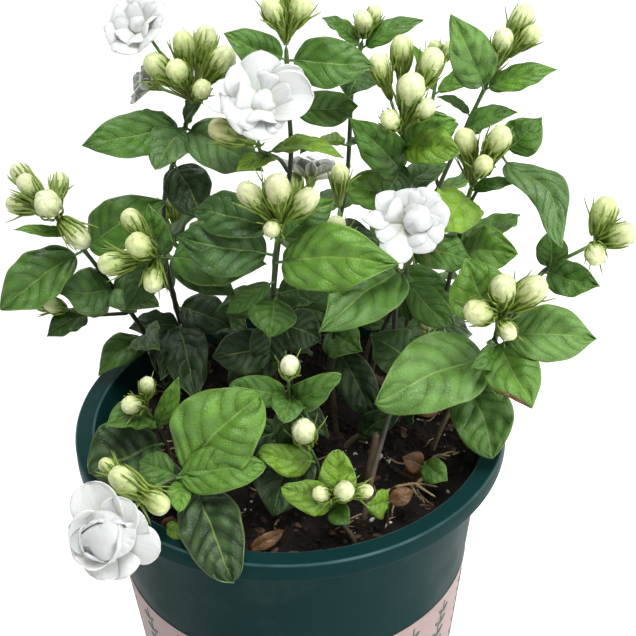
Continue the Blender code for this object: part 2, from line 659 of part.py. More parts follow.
def bloom_object(name):
    """A double bloom: petals in layers on the end of its tube."""
    bloom = BLOOMS[name]
    face = Vector(bloom["face"]).normalized()
    base = bloom_base(name)
    radius = bloom["radius"]
    heart = radius * HEART_RADIUS
    outline = ((0.0, 0.0), (0.0, 1.5), (0.35, 2.2), (0.6, heart), (0.85, 0.75 * heart), (1.0, 0.0))
    body = lathe_object(base, base + face * radius * HEART_REACH, outline, name, 5)
    parts = []
    for layer, (count, reach, opening, broad) in enumerate(bloom["layers"]):
        for index in range(count):
            turn = math.tau * (index + 0.5 * layer) / count + 0.3
            length = radius * reach * (1.0 + 0.08 * math.cos(2.0 * turn))
            depth = radius * (PETAL_ROOT + PETAL_ROOT_STEP * layer) + PETAL_STAGGER * index
            width = radius * broad * (0.6 + 0.4 * reach)
            parts.append(petal_object(base + face * depth, face, turn, length, width, opening))
    boolean(body, parts, "UNION")
    return body


def stem_object(name, shoots, rng):
    """A leafy stem: its shoots and leaves joined in one body, and the ends that carry heads."""
    body = None
    parts = []
    ends = []
    for spec in shoots:
        tube = tube_object(spec["points"], spec["radii"], name)
        if body is None:
            body = tube
        else:
            parts.append(tube)
        for leaf_spec in spec["leaves"]:
            parts.append(leaf_object(leaf_spec, spec["points"], spec["radii"][1], rng))
        if spec["head"]:
            end, direction = on_path(spec["points"], len(spec["points"]) - 1)
            ends.append((spec["head"], end, direction))
    boolean(body, parts, "UNION")
    return body, ends


def pot_object():
    """The pot: a tapered shell with a flat rim, a skirt and drain holes."""
    skirt = POT_HEIGHT - SKIRT_HEIGHT
    outline = (
        (0.0, 0.0), (BASE_RADIUS, 0.0), (BODY_TOP_RADIUS, skirt),
        (BODY_TOP_RADIUS + WALL, POT_HEIGHT - RIM_THICKNESS),
        (RIM_RADIUS - SKIRT_THICKNESS, POT_HEIGHT - RIM_THICKNESS), (RIM_RADIUS - SKIRT_THICKNESS, skirt),
        (RIM_RADIUS, skirt), (RIM_RADIUS, POT_HEIGHT - RIM_ROUND), (RIM_RADIUS - RIM_ROUND, POT_HEIGHT),
        (RIM_INNER_RADIUS, POT_HEIGHT), (BODY_TOP_RADIUS - WALL, skirt), (BASE_RADIUS - WALL, FLOOR),
        (0.0, FLOOR),
    )
    bm = bmesh.new()
    vertices = [bm.verts.new((radius * MM, 0.0, height * MM)) for radius, height in outline]
    for first, second in zip(vertices, vertices[1:]):
        bm.edges.new((first, second))
    bmesh.ops.spin(bm, geom=bm.verts[:] + bm.edges[:], cent=(0, 0, 0), axis=(0, 0, 1), dvec=(0, 0, 0),
                   angle=math.tau, steps=POT_SIDES, use_merge=True)
    bmesh.ops.remove_doubles(bm, verts=bm.verts, dist=0.00001)
    pot = object_from(bm, "pot", smooth=True)
    holes = []
    for index in range(DRAIN_HOLES):
        angle = math.tau * (index + 0.5) / DRAIN_HOLES
        x = DRAIN_RING_RADIUS * math.cos(angle)
        y = DRAIN_RING_RADIUS * math.sin(angle)
        outline = ((0.0, 0.0), (0.0, DRAIN_RADIUS), (1.0, DRAIN_RADIUS), (1.0, 0.0))
        holes.append(lathe_object((x, y, -FLOOR), (x, y, 2.0 * FLOOR), outline, "hole", 8))
    boolean(pot, holes, "DIFFERENCE")
    return pot


def soil_height(x, y):
    """Height of the soil's surface, in gentle lumps."""
    lumps = math.sin(0.13 * x + 1.0) * math.cos(0.11 * y - 0.6) + 0.6 * math.sin(0.23 * x - 0.19 * y)
    return SOIL_TOP + SOIL_RELIEF * lumps


def soil_object(roots):
    """The soil: a filled body with a lumpy top, and a plain hole for each stem."""
    low = FLOOR + GAP
    taper = (BODY_TOP_RADIUS - BASE_RADIUS) / (POT_HEIGHT - SKIRT_HEIGHT - FLOOR)

    def wall_radius(height):
        return BASE_RADIUS - WALL - 1.5 * GAP + taper * (height - FLOOR)

    bm = bmesh.new()
    outline = [(0.0, low), (wall_radius(low), low), (wall_radius(SOIL_TOP - 2.0), SOIL_TOP - 2.0)]
    outline += [(radius, SOIL_TOP) for radius in reversed(SOIL_RINGS)]
    outline.append((0.0, SOIL_TOP))
    vertices = [bm.verts.new((radius * MM, 0.0, height * MM)) for radius, height in outline]
    for first, second in zip(vertices, vertices[1:]):
        bm.edges.new((first, second))
    bmesh.ops.spin(bm, geom=bm.verts[:] + bm.edges[:], cent=(0, 0, 0), axis=(0, 0, 1), dvec=(0, 0, 0),
                   angle=math.tau, steps=POT_SIDES, use_merge=True)
    bmesh.ops.remove_doubles(bm, verts=bm.verts, dist=0.00001)
    for vertex in bm.verts:
        if abs(vertex.co.z - SOIL_TOP * MM) < 0.1 * MM:
            vertex.co.z = soil_height(vertex.co.x / MM, vertex.co.y / MM) * MM
    soil = object_from(bm, "soil")
    holes = []
    for x, y, radius in roots:
        wide = (radius + GAP + 0.1) / math.cos(math.pi / 6)
        outline = ((0.0, 0.0), (0.0, wide), (1.0, wide), (1.0, 0.0))
        holes.append(lathe_object((x, y, ROOT_DEPTH - GAP), (x, y, SOIL_TOP + 8.0), outline, "hole", 6))
    boolean(soil, holes, "DIFFERENCE")
    return soil


def build():
    """Make every piece and give it its material."""
    for item in list(bpy.data.objects):
        bpy.data.objects.remove(item)
    rng = random.Random(SEED)
    pieces = [(pot_object(), "pot", 0.32)]
    roots = []
    for shoots in STEMS.values():
        first = shoots[0]
        roots.append((first["points"][0][0], first["points"][0][1], first["radii"][0]))
    pieces.append((soil_object(roots), "soil", 0.95))
    for name, shoots in STEMS.items():
        body, ends = stem_object(name, shoots, rng)
        pieces.append((body, "stem", 0.42))
        for head, end, direction in ends:
            pieces.append((head_object(head, end, direction), "buds", 0.55))
    for name in BLOOMS:
        pieces.append((bloom_object(name), "bloom", 0.60))
    for piece, colour, roughness in pieces:
        piece.data.materials.clear()
        piece.data.materials.append(material(piece.name, COLOURS[colour], roughness))
    print(len(pieces), "pieces")


build()
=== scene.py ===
# %% [markdown]
# # A potted Arabian jasmine
# The object is a double jasmine in a plastic nursery pot. Its plain solids, the CAD model, are
# already packed and load here as a fixed frame. This lesson dresses that frame: every stem, leaf,
# bud and bloom gets a finer piece that keeps the solid's place and main form. The tables are in
# millimetres and Blender works in metres, with +Z up, the front at -Y and the right at +X.

# %% Load the frame
import math
import random

import bmesh
import bpy
from mathutils import Matrix, Vector, noise


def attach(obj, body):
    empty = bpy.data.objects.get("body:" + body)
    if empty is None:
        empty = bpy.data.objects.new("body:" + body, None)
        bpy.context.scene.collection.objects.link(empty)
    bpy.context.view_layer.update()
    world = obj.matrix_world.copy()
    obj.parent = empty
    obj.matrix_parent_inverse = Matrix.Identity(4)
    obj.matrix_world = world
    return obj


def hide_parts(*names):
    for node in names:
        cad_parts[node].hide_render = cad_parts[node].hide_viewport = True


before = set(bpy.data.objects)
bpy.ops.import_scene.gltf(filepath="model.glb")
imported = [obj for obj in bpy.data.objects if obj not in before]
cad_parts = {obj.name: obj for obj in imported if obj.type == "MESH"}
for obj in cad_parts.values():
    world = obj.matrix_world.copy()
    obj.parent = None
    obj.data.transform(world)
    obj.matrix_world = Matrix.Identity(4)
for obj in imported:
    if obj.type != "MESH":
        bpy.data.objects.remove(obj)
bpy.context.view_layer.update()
MM = 0.001

# %% [markdown]
# ## Camera
# The photograph looks down on the plant at about 34 degrees with a longish lens. The pot's rim is a
# circle, and the ellipse that it makes in the picture fixes the camera's height, distance and tilt.
# The lens is the fitted focal length in pixels, turned to millimetres on a 36 mm sensor.

# %% Camera
PHOTO_SIDE = 636
FOCAL_PIXELS = 1500.0
SENSOR = 36.0
CAMERA_PLACE = Vector((14.64, -580.57, 639.75)) * MM
LOOK_DOWN = 34.3
CAMERA_PITCH = math.radians(90.0 - LOOK_DOWN)
CAMERA_ROLL = math.radians(-1.5)

scene = bpy.context.scene
camera = bpy.data.objects.new("camera", bpy.data.cameras.new("camera"))
scene.collection.objects.link(camera)
camera.data.sensor_width = SENSOR
camera.data.lens = SENSOR * FOCAL_PIXELS / PHOTO_SIDE
camera.matrix_world = (Matrix.Translation(CAMERA_PLACE) @ Matrix.Rotation(CAMERA_PITCH, 4, "X")
                       @ Matrix.Rotation(CAMERA_ROLL, 4, "Z"))
scene.camera = camera
print("lens", round(camera.data.lens, 1), "mm")

# %% [markdown]
# ## Finishes from nodes
# Every finish is a small graph of nodes round one Principled shader. Short helpers keep such a
# graph as readable as a recipe: `add_node` makes a node and fills or links its sockets, and the
# others name the steps that come back often, such as a mix, a ramp of colours or a soft threshold.

# %% Node helpers
def add_node(tree, kind, inputs=None, **settings):
    """A node with its settings, its input sockets filled with values or linked to other nodes' sockets."""
    made = tree.nodes.new(kind)
    for key, value in settings.items():
        setattr(made, key, value)
    for key, value in (inputs or {}).items():
        if isinstance(value, bpy.types.NodeSocket):
            tree.links.new(value, made.inputs[key])
        else:
            made.inputs[key].default_value = value
    return made


def maths(tree, operation, *values):
    """One step of arithmetic on sockets or numbers."""
    return add_node(tree, "ShaderNodeMath", dict(enumerate(values)), operation=operation).outputs[0]


def blend_colour(tree, factor, first, second):
    """Two colours mixed by a factor."""
    inputs = {0: factor, 6: first, 7: second}
    return add_node(tree, "ShaderNodeMix", inputs, data_type="RGBA").outputs[2]


def between(tree, value, low, high, start=0.0, stop=1.0):
    """A value that goes softly from start to stop while the input goes from low to high."""
    inputs = {"Value": value, "From Min": low, "From Max": high, "To Min": start, "To Max": stop}
    return add_node(tree, "ShaderNodeMapRange", inputs, interpolation_type="SMOOTHSTEP").outputs[0]


def ramp(tree, factor, stops):
    """A colour picked along a row of (place, colour) stops."""
    made = add_node(tree, "ShaderNodeValToRGB", {0: factor})
    row = made.color_ramp.elements
    for index, (place, colour) in enumerate(stops):
        element = row[index] if index < 2 else row.new(place)
        element.position = place
        element.color = colour + (1.0,)
    return made.outputs[0]


def brighten(tree, value, colour):
    """A colour made lighter or darker by a value."""
    return add_node(tree, "ShaderNodeHueSaturation", {"Value": value, "Color": colour}).outputs[0]


def own_place(tree):
    """Where a point lies in the object's own coordinates."""
    return add_node(tree, "ShaderNodeTexCoord").outputs["Object"]


def speckle(tree, scale, detail=2.0, roughness=0.5):
    """Soft noise over the object's own coordinates, from 0 to 1."""
    inputs = {"Vector": own_place(tree), "Scale": scale, "Detail": detail, "Roughness": roughness}
    return add_node(tree, "ShaderNodeTexNoise", inputs).outputs[0]


def attribute(tree, name):
    """A number that the mesh stores at each point."""
    return add_node(tree, "ShaderNodeAttribute", attribute_name=name).outputs["Fac"]


def new_finish(name, roughness, **plain):
    """A material, its node tree and its shader, with plain values set on the shader's own sockets."""
    finish = bpy.data.materials.new(name)
    finish.use_nodes = True
    shader = finish.node_tree.nodes["Principled BSDF"]
    shader.inputs["Roughness"].default_value = roughness
    for key, value in plain.items():
        shader.inputs[key.replace("_", " ")].default_value = value
    return finish, finish.node_tree, shader


def wire(tree, shader, colour, height=None, depth=0.3, strength=0.5, roughness=None):
    """Link a colour, and if given a bump of some depth in millimetres and a roughness, to the shader."""
    tree.links.new(colour, shader.inputs["Base Color"])
    if height is not None:
        inputs = {"Height": height, "Distance": depth * MM, "Strength": strength}
        bump = add_node(tree, "ShaderNodeBump", inputs)
        tree.links.new(bump.outputs[0], shader.inputs["Normal"])
    if roughness is not None:
        tree.links.new(roughness, shader.inputs["Roughness"])


print("helpers ready")

# %% [markdown]
# ## Floor and light
# The photograph is a studio shot on white: light comes softly from above and from the right, and
# the background is blown out. A wide floor that glows, more so to the right, a white world and
# three area lights give the same. The floor is only a stage, so it isn't part of the object.

# %% Floor and light
FLOOR_SIZE = 60.0
FLOOR_GLOW = (0.94, 2.1)
GLOW_FROM = -0.3
GLOW_TO = 0.9
WORLD_STRENGTH = 0.26
LIGHT_AIM = Vector((0.0, 0.0, 0.25))
LIGHTS = (("overhead", (0.05, -0.40, 1.50), 0.6, 19.0), ("right", (1.00, -0.50, 0.75), 0.5, 9.0),
          ("back", (-0.40, 0.90, 1.20), 0.8, 8.0))


def object_from(bm, name):
    """A new object in the scene that takes its mesh from a bmesh. The bmesh is freed."""
    mesh = bpy.data.meshes.new(name)
    bm.to_mesh(mesh)
    bm.free()
    made = bpy.data.objects.new(name, mesh)
    scene.collection.objects.link(made)
    return made


floor_finish, tree, shader = new_finish("floor_white", 0.85, Emission_Color=(1.0, 1.0, 1.0, 1.0))
across = add_node(tree, "ShaderNodeSeparateXYZ", {0: own_place(tree)})
glow = between(tree, across.outputs[0], GLOW_FROM, GLOW_TO, *FLOOR_GLOW)
tree.links.new(glow, shader.inputs["Emission Strength"])
wire(tree, shader, ramp(tree, speckle(tree, 3.0), ((0.3, (0.17, 0.17, 0.17)), (0.7, (0.19, 0.19, 0.19)))))
bm = bmesh.new()
bmesh.ops.create_grid(bm, x_segments=1, y_segments=1, size=FLOOR_SIZE / 2)
floor = object_from(bm, "floor")
floor.data.materials.append(floor_finish)

scene.world = bpy.data.worlds.new("studio")
scene.world.use_nodes = True
sky = scene.world.node_tree.nodes["Background"]
sky.inputs["Color"].default_value = (1.0, 1.0, 1.0, 1.0)
sky.inputs["Strength"].default_value = WORLD_STRENGTH
for name, place, size, power in LIGHTS:
    light = bpy.data.objects.new(name, bpy.data.lights.new(name, "AREA"))
    light.data.size = size
    light.data.energy = power
    light.location = place
    light.rotation_euler = (LIGHT_AIM - Vector(place)).to_track_quat("-Z", "Y").to_euler()
    scene.collection.objects.link(light)
scene.view_settings.view_transform = "Standard"
print(len(LIGHTS), "lights over a white floor")

# %% [markdown]
# ## From a bmesh to a piece
# Each piece is modelled in a bmesh, then turned into an object that rides on the one body, takes its finishes
# and may stand for a CAD node. One helper does this for all of them.

# %% Piece helper
def piece_from(bm, name, finishes, slot, *nodes, crisp=None):
    """A smooth-shaded object from a bmesh. Edges sharper than crisp degrees stay sharp."""
    piece = object_from(bm, name)
    piece.data.shade_smooth()
    if crisp:
        piece.data.set_sharp_from_angle(angle=math.radians(crisp))
    for finish in finishes:
        piece.data.materials.append(finish)
    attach(piece, "root")
    if nodes:
        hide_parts(*nodes)
    return piece


def give_thickness(piece, thickness, two_faced=False):
    """A live Solidify for a thin sheet. Two-faced, its underside and edge have their own finish."""
    sheet = piece.modifiers.new("sheet", "SOLIDIFY")
    sheet.thickness = thickness * MM
    sheet.offset = 0.0
    if two_faced:
        sheet.material_offset = 1
        sheet.material_offset_rim = 2


def float_layer(bm, name):
    """The layer of numbers with this name on the points of a bmesh, made when it isn't there yet."""
    return bm.verts.layers.float.get(name) or bm.verts.layers.float.new(name)


def lathe(outline, steps):
    """A bmesh turned from an outline of (radius, height) in millimetres."""
    bm = bmesh.new()
    row = [bm.verts.new((radius * MM, 0.0, height * MM)) for radius, height in outline]
    for first, second in zip(row, row[1:]):
        bm.edges.new((first, second))
    bmesh.ops.spin(bm, geom=bm.verts[:] + bm.edges[:], cent=(0, 0, 0), axis=(0, 0, 1), dvec=(0, 0, 0),
                   angle=math.tau, steps=steps, use_merge=True)
    bmesh.ops.remove_doubles(bm, verts=bm.verts, dist=0.001 * MM)
    bmesh.ops.recalc_face_normals(bm, faces=bm.faces)
    return bm


print("piece helpers ready")

# %% [markdown]
# ## The pot
# A nursery pot is moulded in one shot of thin green plastic: a tapered wall, and a flat rim with a
# short skirt that stiffens it. A lathe makes it from one outline. Real corners are never knife
# sharp, and the bright lines along the rim in the photo are light caught by its rounded edges, so
# the ring edges get a small bevel.

# %% Pot shape
POT_HEIGHT = 186.0
RIM_RADIUS = 105.0
RIM_INNER = 96.0
RIM_THICK = 3.0
SKIRT_THICK = 2.4
SKIRT_BOTTOM = 176.0
BODY_TOP = 94.4
BODY_BASE = 76.4
WALL = 2.0
FOOT = 3.0
POT_STEPS = 160
SHARP_CORNER = math.radians(25)
CORNER_ROUND = 1.1
CORNER_STEPS = 4
ROUND_BEYOND = 50.0


def body_radius(height):
    """Outside radius of the pot's wall at a height."""
    return BODY_BASE + (BODY_TOP - BODY_BASE) * height / SKIRT_BOTTOM


outline = ((0.0, 0.0), (BODY_BASE, 0.0), (body_radius(60), 60), (body_radius(120), 120),
           (BODY_TOP, SKIRT_BOTTOM), (BODY_TOP + WALL, POT_HEIGHT - RIM_THICK),
           (RIM_RADIUS - SKIRT_THICK, POT_HEIGHT - RIM_THICK),
           (RIM_RADIUS - SKIRT_THICK, SKIRT_BOTTOM), (RIM_RADIUS, SKIRT_BOTTOM), (RIM_RADIUS, POT_HEIGHT),
           (RIM_INNER, POT_HEIGHT), (BODY_TOP - WALL, SKIRT_BOTTOM), (BODY_BASE - WALL, FOOT), (0.0, FOOT))
bm = lathe(outline, POT_STEPS)
corners = [edge for edge in bm.edges if len(edge.link_faces) == 2
           and edge.calc_face_angle() > SHARP_CORNER and edge.verts[0].co.xy.length > ROUND_BEYOND * MM]
bmesh.ops.bevel(bm, geom=corners, offset=CORNER_ROUND * MM, segments=CORNER_STEPS, profile=0.5,
                affect="EDGES", material=-1)
print(len(corners), "ring edges rounded,", len(bm.faces), "faces")

# %% [markdown]
# ## Drain holes
# Six round holes in the floor let water out. They are cut with a Boolean modifier, because a hole
# through a thin wall is exactly the difference of two solids, and the cutter is removed afterwards.

# %% Drain holes
HOLES = 6
HOLE_RING = 52.0
HOLE_RADIUS = 5.0

cutter_bm = bmesh.new()
for index in range(HOLES):
    angle = math.tau * (index + 0.5) / HOLES
    centre = Vector((HOLE_RING * math.cos(angle), HOLE_RING * math.sin(angle), FOOT * 0.5)) * MM
    bmesh.ops.create_cone(cutter_bm, cap_ends=True, segments=24, radius1=HOLE_RADIUS * MM,
                          radius2=HOLE_RADIUS * MM, depth=4 * FOOT * MM, matrix=Matrix.Translation(centre))
cutter = object_from(cutter_bm, "hole_cutter")
whole = object_from(bm, "pot_whole")
cut = whole.modifiers.new("drain", "BOOLEAN")
cut.object = cutter
cut.operation = "DIFFERENCE"
cut.solver = "EXACT"
bm = bmesh.new()
bm.from_object(whole, bpy.context.evaluated_depsgraph_get())
bpy.data.objects.remove(cutter)
bpy.data.objects.remove(whole)
print(HOLES, "holes cut,", len(bm.faces), "faces")

# %% [markdown]
# ## Green plastic
# The plastic is a dark bluish green. Old pots are a little dull and greyer where they were rubbed,
# so a noise drives both the colour and the roughness, and a fine grain keeps the highlight soft.
# The rim's two upper edges carry a painted highlight, a paler colour for the light that their rounded edges
# catch: a mask from the distance to the pot's axis and the height finds them.

# %% Pot finish
POT_GREEN = (0.004, 0.026, 0.026, 1.0)
POT_SCUFFED = (0.016, 0.040, 0.039, 1.0)
# painted highlight along the rim's two upper edges
POT_EDGE_HIGHLIGHT = (0.075, 0.150, 0.145, 1.0)

pot_plastic, tree, shader = new_finish("pot_plastic", 0.38, Specular_IOR_Level=0.03)
rubbed = between(tree, speckle(tree, 26.0, 6.0, 0.65), 0.52, 0.78)
grain = speckle(tree, 900.0, 2.0)
plastic = blend_colour(tree, rubbed, POT_GREEN, POT_SCUFFED)
spot = add_node(tree, "ShaderNodeSeparateXYZ", {0: own_place(tree)})
squares = [maths(tree, "POWER", spot.outputs[axis], 2.0) for axis in (0, 1)]
from_axis = maths(tree, "SQRT", maths(tree, "ADD", *squares))
# painted highlight: a paler band on the rim's outer and inner top edges, broken into patches by noise
outer_edge = between(tree, from_axis, (RIM_RADIUS - 1.3) * MM, (RIM_RADIUS - 0.4) * MM)
inner_edge = between(tree, from_axis, (RIM_INNER + 0.3) * MM, (RIM_INNER + 1.0) * MM, 1.0, 0.0)
on_top = between(tree, spot.outputs[2], (POT_HEIGHT - 1.4) * MM, (POT_HEIGHT - 0.3) * MM)
painted_edge_highlight = maths(tree, "MULTIPLY", maths(tree, "MAXIMUM", outer_edge, inner_edge), on_top)
patchy = between(tree, speckle(tree, 30.0, 3.0), 0.35, 0.65, 0.25, 0.85)
painted_edge_highlight = maths(tree, "MULTIPLY", painted_edge_highlight, patchy)
wire(tree, shader, blend_colour(tree, painted_edge_highlight, plastic, POT_EDGE_HIGHLIGHT), grain, 0.08, 0.25,
     between(tree, speckle(tree, 40.0, 4.0), 0.2, 0.8, 0.32, 0.50))
pot = piece_from(bm, "pot_shell", [pot_plastic], "pot_plastic", "pot", crisp=40)
print("pot", [round(size / MM) for size in pot.dimensions], "mm")

# %% [markdown]
# ## The printed band
# A dusty pink band runs round the lower part of the pot. On the real one it carries print, which
# this part leaves off: the band holds a plain row of leaf sprigs instead. The band itself is a thin
# sleeve turned on the lathe, its inner face sunk into the wall so that no gap shows at its edges.

# %% Band sleeve
BAND_LOW = 40.0
BAND_TOP = 109.5
BAND_PROUD = 0.30
BAND_SUNK = 0.5
BAND_PINK = (0.36, 0.255, 0.240, 1.0)
BAND_WORN = (0.28, 0.190, 0.180, 1.0)

low_wall = body_radius(BAND_LOW)
top_wall = body_radius(BAND_TOP)
band_bm = lathe(((low_wall - BAND_SUNK, BAND_LOW), (low_wall + BAND_PROUD, BAND_LOW),
                 (top_wall + BAND_PROUD, BAND_TOP), (top_wall - BAND_SUNK, BAND_TOP),
                 (low_wall - BAND_SUNK, BAND_LOW)), POT_STEPS)
band_finish, tree, shader = new_finish("band_pink", 0.55)
worn = between(tree, speckle(tree, 70.0, 5.0, 0.7), 0.45, 0.75)
wire(tree, shader, blend_colour(tree, worn, BAND_PINK, BAND_WORN), speckle(tree, 1200.0), 0.05, 0.3)
piece_from(band_bm, "pot_band", [band_finish], "pot_plastic", crisp=40)
print("band", round(BAND_TOP - BAND_LOW, 1), "mm high")

# %% [markdown]
# ## Sprigs on the band
# A plain leafy sprig, repeated round the pot, stands in for the print. Each is laid out flat first,
# as a stem with pairs of leaves, then raised a little and wrapped round the cone, because flat
# shapes are easy to place and one formula bends them all.

# %% Sprigs on the band
SPRIGS = 22
SPRIG_HEIGHT = 46.0
SPRIG_RAISE = 0.22
SPRIG_STEPS = 6
SPRIG_SWAY = 3.0
SPRIG_FOOT = 11.0
LEAF_SPREAD = math.radians(52)
SPRIG_GREEN = (0.020, 0.065, 0.040, 1.0)
SPRIG_FADED = (0.06, 0.11, 0.07, 1.0)


def flat_leaf(bm, x, y, length, width, turn):
    """A pointed oval leaf lying flat, its root at x, y."""
    made = bmesh.ops.create_circle(bm, cap_ends=True, segments=10, radius=1.0)["verts"]
    for vertex in made:
        vertex.co.y *= 1.0 - 0.35 * vertex.co.x ** 2
    stretch = Matrix.Diagonal((length * 0.5, width * 0.5, 1.0, 1.0))
    place = Matrix.Translation((x, y, 0.0)) @ Matrix.Rotation(turn, 4, "Z")
    bmesh.ops.transform(bm, matrix=place @ Matrix.Translation((length * 0.5, 0, 0)) @ stretch, verts=made)


sprig_bm = bmesh.new()
middle = 0.5 * (BAND_LOW + BAND_TOP)
spacing = math.tau * body_radius(middle) / SPRIGS
for index in range(SPRIGS):
    foot_x = index * spacing
    foot_y = BAND_LOW + SPRIG_FOOT
    sway = SPRIG_SWAY if index % 2 else -SPRIG_SWAY
    for step in range(SPRIG_STEPS + 1):
        share = step / SPRIG_STEPS
        x = foot_x + sway * math.sin(math.pi * share)
        y = foot_y + SPRIG_HEIGHT * share
        for hand in (-1, 1):
            flat_leaf(sprig_bm, x, y, 8.5 - 3.0 * share, 3.2 - share, math.pi / 2 - hand * LEAF_SPREAD)
        flat_leaf(sprig_bm, x, y, 8.6, 0.8, math.pi / 2)
raised = bmesh.ops.extrude_face_region(sprig_bm, geom=sprig_bm.faces[:])["geom"]
lifted = [item for item in raised if isinstance(item, bmesh.types.BMVert)]
bmesh.ops.translate(sprig_bm, vec=(0, 0, BAND_PROUD + SPRIG_RAISE), verts=lifted)
for vertex in sprig_bm.verts:
    radius = body_radius(vertex.co.y) + vertex.co.z
    angle = vertex.co.x / body_radius(middle)
    vertex.co = Vector((radius * math.cos(angle), radius * math.sin(angle), vertex.co.y)) * MM
bmesh.ops.recalc_face_normals(sprig_bm, faces=sprig_bm.faces)
sprig_finish, tree, shader = new_finish("sprig_green", 0.5)
faded = between(tree, speckle(tree, 160.0, 4.0), 0.45, 0.7)
wire(tree, shader, blend_colour(tree, faded, SPRIG_GREEN, SPRIG_FADED))
sprigs = piece_from(sprig_bm, "pot_band_sprigs", [sprig_finish], "pot_plastic", crisp=40)
print(SPRIGS, "sprigs,", len(sprigs.data.polygons), "faces")

# %% [markdown]
# ## The soil
# Potting mix fills the pot to a finger below the rim: nearly black peat with bark, crumbs and white
# perlite. Its body is turned on the lathe with many rings in the top, and the rings are then lifted
# by the same gentle lumps as the CAD solid's, with finer noise on them.

# %% Soil body
SOIL_TOP = 174.0
SOIL_LOW = 3.3
SOIL_RINGS = 56
SOIL_STEPS = 150
EARTH = ((0.3, (0.002, 0.0015, 0.001)), (0.55, (0.008, 0.005, 0.004)), (0.8, (0.030, 0.019, 0.013)))
SOIL_EDGE = BODY_TOP - WALL - 0.8


def soil_height(x, y):
    """Height of the soil at a place: the CAD's lumps, and finer clods."""
    lumps = math.sin(0.13 * x + 1.0) * math.cos(0.11 * y - 0.6) + 0.6 * math.sin(0.23 * x - 0.19 * y)
    clods = noise.fractal(Vector((x, y, 0.0)) * 0.16, 1.0, 2.2, 3)
    return SOIL_TOP + 1.6 * lumps + 1.5 * clods


wall_low = BODY_BASE - WALL - 0.5
outline = [(0.0, SOIL_LOW), (wall_low, SOIL_LOW), (SOIL_EDGE - 0.3, SOIL_TOP - 3.5)]
outline += [(SOIL_EDGE * (1.0 - ring / SOIL_RINGS), SOIL_TOP) for ring in range(SOIL_RINGS + 1)]
bm = lathe(outline, SOIL_STEPS)
for vertex in bm.verts:
    if vertex.co.z > (SOIL_TOP - 1.0) * MM:
        vertex.co.z = soil_height(vertex.co.x / MM, vertex.co.y / MM) * MM
soil_finish, tree, shader = new_finish("soil_dark", 0.95, Specular_IOR_Level=0.25)
damp = speckle(tree, 70.0, 6.0, 0.7)
wire(tree, shader, ramp(tree, damp, EARTH), speckle(tree, 420.0, 6.0, 0.7), 1.2, 0.8)
soil = piece_from(bm, "soil_body", [soil_finish], "potting_soil", "soil")
print("soil", len(soil.data.polygons), "faces")

# %% [markdown]
# ## Crumbs, bark and perlite
# At this distance the eye sees every loose bit against the dark soil, so they are small shapes of
# their own. Each is a ball of twenty faces, stretched, tilted and pushed out of round. It is made
# in a bmesh of its own and then added to the heap, because an operator on one growing heap would
# get slower with every bit.

# %% Crumbs, bark and perlite
BITS_SEED = 31
BITS = (
    ("soil_crumbs", 1500, (0.5, 1.7), 1.0, (0.005, 0.003, 0.002), (0.036, 0.021, 0.014)),
    ("soil_bark", 240, (1.2, 3.6), 0.38, (0.014, 0.008, 0.005), (0.110, 0.062, 0.036)),
    ("soil_perlite", 110, (0.35, 1.05), 0.8, (0.30, 0.29, 0.26), (0.55, 0.54, 0.50)),
)
STONES = ((41.9, -19.1, 3.3), (30.9, -16.8, 1.5), (46.6, -22.0, 1.7), (73.6, -44.3, 1.4), (37.0, -64.5, 1.6))

rng = random.Random(BITS_SEED)
one_bit = bpy.data.meshes.new("one_bit")
for name, count, sizes, flatness, dark, pale in BITS:
    heap = bmesh.new()
    placed = list(STONES) if name == "soil_perlite" else []
    for index in range(count):
        angle = rng.uniform(0.0, math.tau)
        reach = (SOIL_EDGE - 3.0) * math.sqrt(rng.random())
        placed.append((reach * math.cos(angle), reach * math.sin(angle), rng.uniform(*sizes)))
    for x, y, size in placed:
        stretch = Matrix.Diagonal((1.0, rng.uniform(0.45, 0.9), flatness * rng.uniform(0.6, 1.0), 1.0))
        turn = Matrix.Rotation(rng.uniform(0, math.tau), 4, "Z")
        tilt = Matrix.Rotation(rng.uniform(-0.5, 0.5), 4, "X")
        bit = bmesh.new()
        bmesh.ops.create_icosphere(bit, subdivisions=1, radius=size * MM, matrix=turn @ tilt @ stretch)
        for vertex in bit.verts:
            vertex.co *= rng.uniform(0.75, 1.2)
        rest = Vector((x, y, soil_height(x, y) + 0.3 * size * flatness)) * MM
        bmesh.ops.translate(bit, vec=rest, verts=bit.verts)
        bit.to_mesh(one_bit)
        bit.free()
        heap.from_mesh(one_bit)
    finish, tree, shader = new_finish(name, 0.9, Specular_IOR_Level=0.3)
    wire(tree, shader, ramp(tree, speckle(tree, 260.0, 3.0), ((0.35, dark), (0.65, pale))),
         speckle(tree, 1500.0, 3.0), 0.3, 0.6)
    bits = piece_from(heap, name, [finish], "potting_soil", crisp=30)
    print(name, len(bits.data.polygons), "faces")
bpy.data.meshes.remove(one_bit)

# %% [markdown]
# ## Where every stem and leaf stands
# The plant is placed from the photograph: each shoot is a few points, each leaf has its place along the
# shoot, its tip, its width and how far its face leans to the front. The CAD was built from the same rows, so
# the finer leaves fall where the solids are, and only a few were made rounder or narrower since. A leaf's
# word names its look: jasmine leaves go from bright yellow green when young to a dark bluish green, and the
# darkest looks are partly painted shade for leaves that sit in the plant's shadow. The last numbers say how
# pointed, how burnt at the edge and how bowed it is.

# %% Leaf and shoot rows
def leaf(at, tip, width, lean, look, point=0.95, scorch=0.0, bow=0.0):
    """A leaf: place along its shoot, tip, width, lean, look, how pointed, how burnt and how bowed it is."""
    return {"at": at, "tip": tip, "width": width, "lean": lean, "look": look, "point": point,
            "scorch": scorch, "bow": bow}


def shoot(points, thick, thin, head, *leaves):
    """A shoot through the points, tapering from one radius to the other, with a head and leaves."""
    return {"points": points, "radii": (thick, thin), "leaves": list(leaves), "head": head}


stems = {}
print("rows ready")

# %% [markdown]
# ## Stems on the left
# The tall stem at the left carries the two blooms at the top, and the outer one leans over the rim.
# A side shoot is a second row under the same stem, because it grows from it as one piece.

